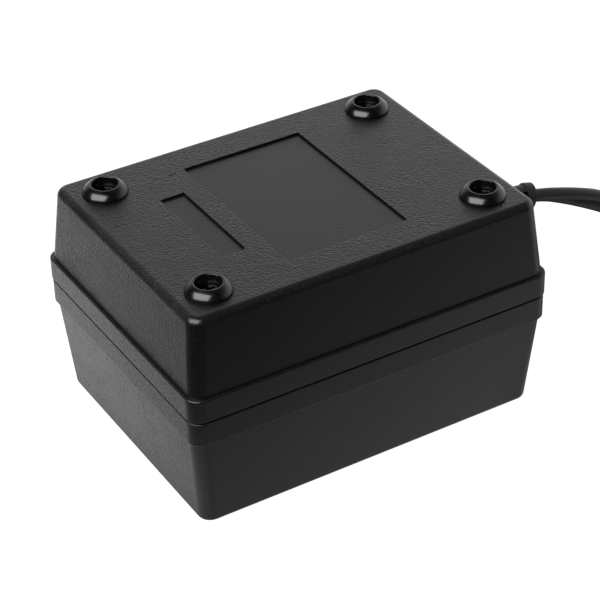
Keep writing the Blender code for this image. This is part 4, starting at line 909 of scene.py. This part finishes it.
def relief_slot(hand):
    """A block that cuts the slot on one side."""
    sections = []
    for distance in SLOT_SPAN:
        point, side, above = relief_place(distance)
        near, far = (point + side * hand * reach * MM for reach in (SLOT_NEAR, SLOT_FAR))
        down, up = above * SLOT_DOWN * MM, above * SLOT_UP * MM
        sections.append([near - down, far - down, far + up, near + up])
    return loft("slot", sections)


relief = loft("relief", [relief_ring(*ring) for ring in STOP + COLLAR + SLEEVE + END_RING])
carve(relief, [relief_slot(hand) for hand in (1, -1)])
even_out(relief)
settle(relief, relief_vinyl, "strain_relief", slot="vinyl")

# %% [markdown]
# ## Tie and plug
#
# A band holds the coil, and the plug lies on the coil's top. The plug is moulded onto the lead: a
# ribbed neck widens to the body that the fingers hold, with two flat blades in front.

# %% Tie round the coil
LEAD_REACH = 2.95  # millimetres from the lead's middle to the band
BAND, BAND_WIDTH, BAND_EASE = 0.8 * MM, 4.0 * MM, 0.05 * MM
BAND_BEVEL_OUT, BAND_BEVEL_ALONG = 0.2 * MM, 0.3 * MM
tie_turn = math.radians(TIE_ANGLE)
outwards = Vector((math.cos(tie_turn), math.sin(tie_turn), 0))
onwards = Vector((-math.sin(tie_turn), math.cos(tie_turn), 0))
ring_middle = Vector((COIL_X, COIL_Y, 0)) * MM + outwards * (OUTER_TURN + INNER_TURN) / 2 * MM
half_wide = ((OUTER_TURN - INNER_TURN) / 2 + CORE_RADIUS / MM) * MM
tie_low = (LOW_LAYER + TIE_LIFT - LEAD_REACH) * MM
tie_high = (TOP_LAYER + TIE_LIFT + LEAD_REACH) * MM


def tie_ring(out, shift):
    """An outline of the tie, out beyond the lead's turns, at a shift along them."""
    pairs = rounded(half_wide + out, (tie_high - tie_low) / 2 + out, 2.0 * MM + out, 6)
    middle = ring_middle + onwards * shift + Vector((0, 0, (tie_high + tie_low) / 2))
    return [middle + outwards * a + Vector((0, 0, b)) for a, b in pairs]


tie = loft("tie", [
    tie_ring(BAND - BAND_BEVEL_OUT, -BAND_WIDTH / 2),
    tie_ring(BAND, -BAND_WIDTH / 2 + BAND_BEVEL_ALONG),
    tie_ring(BAND, BAND_WIDTH / 2 - BAND_BEVEL_ALONG),
    tie_ring(BAND - BAND_BEVEL_OUT, BAND_WIDTH / 2),
])
hole = [tie_ring(BAND_EASE, shift) for shift in (-BAND_WIDTH, BAND_WIDTH)]
carve(tie, [loft("tie_hole", hole)])
settle(tie, relief_vinyl, "cord_tie", slot="vinyl")

# %% Plug body, in millimetres from its rear
NECK = [(0, 6.6, 6.6, 3.2), (0.3, 7.2, 7.2, 3.5), (7, 8.6, 8.0, 3.6), (12.5, 10.2, 9.2, 3.6)]
SHOULDER_START, SHOULDER_LENGTH, NECK_WIDTH, NECK_HEIGHT = 14, 6.3, 11, 9.6
PLUG_WIDTH, PLUG_HEIGHT, PLUG_CORNER, PLUG_MIDDLE = 24, 12.4, 3.6, 27
FACE_EDGE, EDGE_LENGTH, EDGE_IN, CORNER_IN = 33.8, 1.2, 2.4, 1.2
GRIPS, GRIP_START, GRIP_STEP, GRIP_WIDE = 5, 20.5, 2.4, 1.1
GRIP_HALF, GRIP_FLOOR, GRIP_TOP = 6.5, 5.8, 7.2
plug_x, plug_y = TAIL_X + TAIL_RADIUS, TAIL_Y + TAIL_STRAIGHT + 0.3
plug_rear = Vector((plug_x, plug_y, TAIL_LEVEL + PLUG_RISE)) * MM


def plug_ring(y, width, height, corner):
    """An outline of the plug at a distance from its rear."""
    pairs = rounded(width / 2 * MM, height / 2 * MM, corner * MM)
    return [plug_rear + Vector((a, y * MM, b)) for a, b in pairs]


rings = [plug_ring(*sizes) for sizes in NECK]
for s, c in arc(7):
    width = NECK_WIDTH + (PLUG_WIDTH - NECK_WIDTH) * s
    height = NECK_HEIGHT + (PLUG_HEIGHT - NECK_HEIGHT) * s
    rings.append(plug_ring(SHOULDER_START + SHOULDER_LENGTH * (1 - c), width, height, PLUG_CORNER))
rings.append(plug_ring(PLUG_MIDDLE, PLUG_WIDTH, PLUG_HEIGHT, PLUG_CORNER))
for s, c in arc(4):
    less = EDGE_IN * (1 - c)
    corner = PLUG_CORNER - CORNER_IN * (1 - c)
    y = FACE_EDGE + EDGE_LENGTH * s
    rings.append(plug_ring(y, PLUG_WIDTH - less, PLUG_HEIGHT - less, corner))
plug = loft("plug", rings, sharp=40.0)
grips = []
for i in range(GRIPS):
    for hand in (1, -1):
        y = plug_rear.y + (GRIP_START + GRIP_STEP * i) * MM
        heights = [plug_rear.z + hand * reach * MM for reach in (GRIP_FLOOR, GRIP_TOP)]
        low = (plug_rear.x - GRIP_HALF * MM, y, min(heights))
        high = (plug_rear.x + GRIP_HALF * MM, y + GRIP_WIDE * MM, max(heights))
        grips.append(box("grip", low, high))
carve(plug, grips)
settle(plug, relief_vinyl, "mains_plug", slot="vinyl")

# %% Ribs on the plug's neck
RIBS, FIRST_RIB, RIB_STEP, LAST_RIB = 6, 1.2, 1.9, 1.28
RIB_EDGE = [(0, 0.86), (0, 0.96), (0.25, 1.0), (0.75, 1.0), (1.0, 0.96), (1.0, 0.86)]
rib_pairs = rounded(4.1 * MM, 4.0 * MM, 3.5 * MM, 6)
rib_rings = [[Vector((a * k, y * MM, b * k)) for a, b in rib_pairs] for y, k in RIB_EDGE]
ribs = grow("plug_ribs", in_a_row, Piece=loft("one_rib", rib_rings, sharp=60.0), Count=RIBS,
            Start=plug_rear + Vector((0, FIRST_RIB * MM, 0)), Step=Vector((0, RIB_STEP * MM, 0)),
            Last_size=LAST_RIB, Material=relief_vinyl)
settle(ribs, None, slot="vinyl")

settle(lead, lead_vinyl, "mains_cord", "cord_coil", "cord_tail", slot="vinyl")

# %% [markdown]
# ## The outlet
#
# The end wall that the picture doesn't show holds a plain two-hole outlet, a separate block behind
# a window in the cover. Each hole has a small bevel and leads to a brass sleeve.

# %% Outlet
FLANGE, FLANGE_THICK, FACE_BEVEL = 1.3 * MM, 2 * MM, 0.3 * MM
HOLE_APART = 9.5 * MM  # from the outlet's middle
BORE = [(0, -15), (3.1, -15), (3.1, -2), (2.4, -2), (2.4, -0.35), (2.75, 0), (2.75, 1), (0, 1)]
outlet_face = LENGTH / 2 - 0.4 * MM
outlet_rear = outlet_face - 13.6 * MM
flange_rear = OUTLET_STOP - FLANGE_THICK
levels = [(0, outlet_rear), (0, flange_rear), (FLANGE, flange_rear), (FLANGE, OUTLET_STOP)]
levels.append((0, OUTLET_STOP))
levels += [(-FACE_BEVEL * (1 - c), outlet_face - FACE_BEVEL * (1 - s)) for s, c in arc(4)]
outlet = loft("outlet", [outlet_ring(out, x) for out, x in levels])
quarter = Matrix.Rotation(math.radians(90), 4, "Y")
bores = []
for hand in (-1, 1):
    middle = Vector((outlet_face, OUTLET_Y + hand * HOLE_APART, OUTLET_Z))
    bore = [(r * MM, x * MM) for r, x in BORE]
    bores.append(lathe("bore", bore, 48, Matrix.Translation(middle) @ quarter))
carve(outlet, bores)
settle(outlet, outlet_black, "outlet_body", slot="outlet")

# %% [markdown]
# ## The core
#
# A transformer's core is a stack of thin sheets, so that no current runs round in the steel. One
# sheet is a thin slice of the plain stack, and the row tree sets it again and again along the
# stack.

# %% Core sheets
SHEET, SHEET_GAP = 0.46 * MM, 0.04 * MM


def laminate(node):
    """Replace a plain stack with its sheets, which are as long and as wide as the stack."""
    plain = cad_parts[node]
    corners = [plain.matrix_world @ vertex.co for vertex in plain.data.vertices]
    low, high = min(p.y for p in corners), max(p.y for p in corners)
    count = int((high - low + SHEET_GAP) / (SHEET + SHEET_GAP))
    step = (high - low - SHEET) / (count - 1)
    flat = [(p.x, (p.y - low) / (high - low) * SHEET, p.z) for p in corners]
    faces = [tuple(face.vertices) for face in plain.data.polygons]
    sheet = add_mesh(node + "_sheet", flat, faces)
    stack = grow(node + "_sheets", in_a_row, Piece=sheet, Count=count, Start=Vector((0, low, 0)),
                 Step=Vector((0, step, 0)), Last_size=1.0, Material=core_steel)
    print(node, "has", count, "sheets")
    settle(stack, None, node, slot="core")


laminate("core_e_stack")
laminate("core_i_stack")

# %% [markdown]
# ## The pieces inside
#
# The windings, tapes, wires, pins and fixings have the right shape as they are. Such a solid keeps
# its mesh, and only gets a material in its own list.

# %% Finishes of the pieces inside
INSIDE = {
    copper: ["primary_winding", "secondary_winding"],
    tape_amber: ["inner_tape", "outer_tape"],
    bobbin_nylon: ["bobbin"],
    zinc_steel: ["transformer_frame", "frame_screw_left", "frame_screw_right"],
    nickel: [
        "primary_pin_a", "primary_pin_b", "secondary_pin_a", "secondary_pin_b",
        "thermal_fuse", "plug_blade_left", "plug_blade_right",
    ],
    brass: ["outlet_sleeve_a", "outlet_sleeve_b"],
    foam_grey: ["frame_pad"],
    wire["black"]: ["wire_live", "wire_output_b"],
    wire["red"]: ["wire_fused", "wire_output_a"],
    wire["white"]: ["wire_neutral"],
}
for material, names in INSIDE.items():
    for name in names:
        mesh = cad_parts[name].data
        mesh.materials.clear()
        mesh.materials.append(material)
print("dressed", sum(len(names) for names in INSIDE.values()), "solids in place")

# %% [markdown]
# ## Floor and light
#
# The picture was taken on a bright sweep of white paper, with one large softbox high on the left
# and a bright paper wall behind. The camera sees the paper as plain white, while the box sees a glow
# painted into it unevenly: darkest in front, so that the long front wall is the darkest, bright at
# the left and behind, and a painted shadow by the lead where the box's own shadow would fall.

# %% The paper's glow, places in metres
PAINTED_LIGHT_AT, PAINTED_SHADOW_AT = (0.11, 0.07, 0.0), (0.08, 0.005, 0.0)
SEEN_GLOW = 1.22
paper = bpy.data.materials.new("paper")
paper.use_nodes = True
tree = paper.node_tree
spot = tree.nodes.new("ShaderNodeTexCoord").outputs["Object"]
parts = put(tree, "ShaderNodeSeparateXYZ", {0: spot}).outputs
x, y = parts["X"], parts["Y"]


def round_patch(tree, place, centre, inner, outer, gain):
    """A gain round a point of the floor, which fades to 1 between two distances from it."""
    away = put(tree, "ShaderNodeVectorMath", {0: place, 1: centre}, operation="DISTANCE")
    return ramp(tree, away.outputs["Value"], inner, outer, gain, 1.0)


# painted light and shade in the paper's glow: darker in front, painted pools of light at the left
# and behind, and a painted shadow by the lead
backwards = maths(tree, "MULTIPLY_ADD", x, 0.5, y)
paper_glow = ramp(tree, backwards, -0.142, 0.085, 0.06, 1.08)
left_gain = ramp(tree, x, -0.12, -0.06, 0.26, 1.47)
left_side = ramp(tree, x, -0.052, -0.045, left_gain, 1.0)
painted_shadow = round_patch(tree, spot, PAINTED_SHADOW_AT, 0.03, 0.06, 0.1)
bright = round_patch(tree, spot, PAINTED_LIGHT_AT, 0.035, 0.05, 3.5)
for gain in (left_side, painted_shadow, bright):
    paper_glow = maths(tree, "MULTIPLY", paper_glow, gain)
in_camera = tree.nodes.new("ShaderNodeLightPath").outputs["Is Camera Ray"]
strength = ramp(tree, in_camera, 0.0, 1.0, paper_glow, SEEN_GLOW)
report(tree, "the paper's glow")

# %% Floor
HALF_FLOOR = 3
surface = tree.nodes["Principled BSDF"]
surface.inputs["Roughness"].default_value = 0.9
surface.inputs["Base Color"].default_value = (0.8, 0.8, 0.8, 1)
glow = put(tree, "ShaderNodeEmission", {"Color": (1, 1, 1, 1), "Strength": strength})
glowing = maths(tree, "MULTIPLY_ADD", in_camera, -0.2, 1.0)
shaders = {0: glowing, 1: surface.outputs[0], 2: glow.outputs[0]}
mixed = put(tree, "ShaderNodeMixShader", shaders)
feed(tree, tree.nodes["Material Output"].inputs["Surface"], mixed.outputs[0])
edges = [(HALF_FLOOR * sx, HALF_FLOOR * sy, 0) for sx, sy in SQUARE]
floor = add_mesh("floor", edges, [(0, 1, 2, 3)])
floor.data.materials.append(paper)
print("floor:", 2 * HALF_FLOOR, "m wide")

# %% Light from the wall behind
TOWARDS_WALL = (0.85, 0.53, 0.0)
world = bpy.data.worlds.new("world")
world.use_nodes = True
tree = world.node_tree
sky = tree.nodes.new("ShaderNodeTexCoord").outputs["Generated"]
towards = put(tree, "ShaderNodeVectorMath", {0: sky, 1: TOWARDS_WALL}, operation="DOT_PRODUCT")
behind = ramp(tree, towards.outputs["Value"], 0.0, 0.75, 0.03, 1.0)
height = put(tree, "ShaderNodeSeparateXYZ", {0: sky}).outputs["Z"]
low = ramp(tree, height, 0.42, 0.72, 1.15, 0.25)
wall = maths(tree, "MULTIPLY", behind, low)
feed(tree, tree.nodes["Background"].inputs["Color"], wall)
bpy.context.scene.world = world
bpy.context.scene.view_settings.view_transform = "Standard"
report(tree, "the wall behind")

# %% Softbox on the left
FROM_LEFT = Vector((-0.66, -0.2, 0.72)).normalized()
LIGHT_FAR, LIGHT_WIDE, LIGHT_HIGH, LIGHT_ROLL = 0.9, 1.1, 0.62, 14.0  # metres, and degrees
RADIANCE = 7.0
lamp = bpy.data.lights.new("left_softbox", "AREA")
lamp.shape = "RECTANGLE"
lamp.size, lamp.size_y = LIGHT_WIDE, LIGHT_HIGH
lamp.energy = RADIANCE * math.pi * LIGHT_WIDE * LIGHT_HIGH
softbox = add_object("left_softbox", lamp)
softbox.location = Vector((0, 0, 0.03)) + FROM_LEFT * LIGHT_FAR
turned = Matrix.Rotation(math.radians(LIGHT_ROLL), 3, "Z")
softbox.rotation_euler = (FROM_LEFT.to_track_quat("Z", "Y").to_matrix() @ turned).to_euler()
print("softbox of", round(lamp.energy, 1), "W")
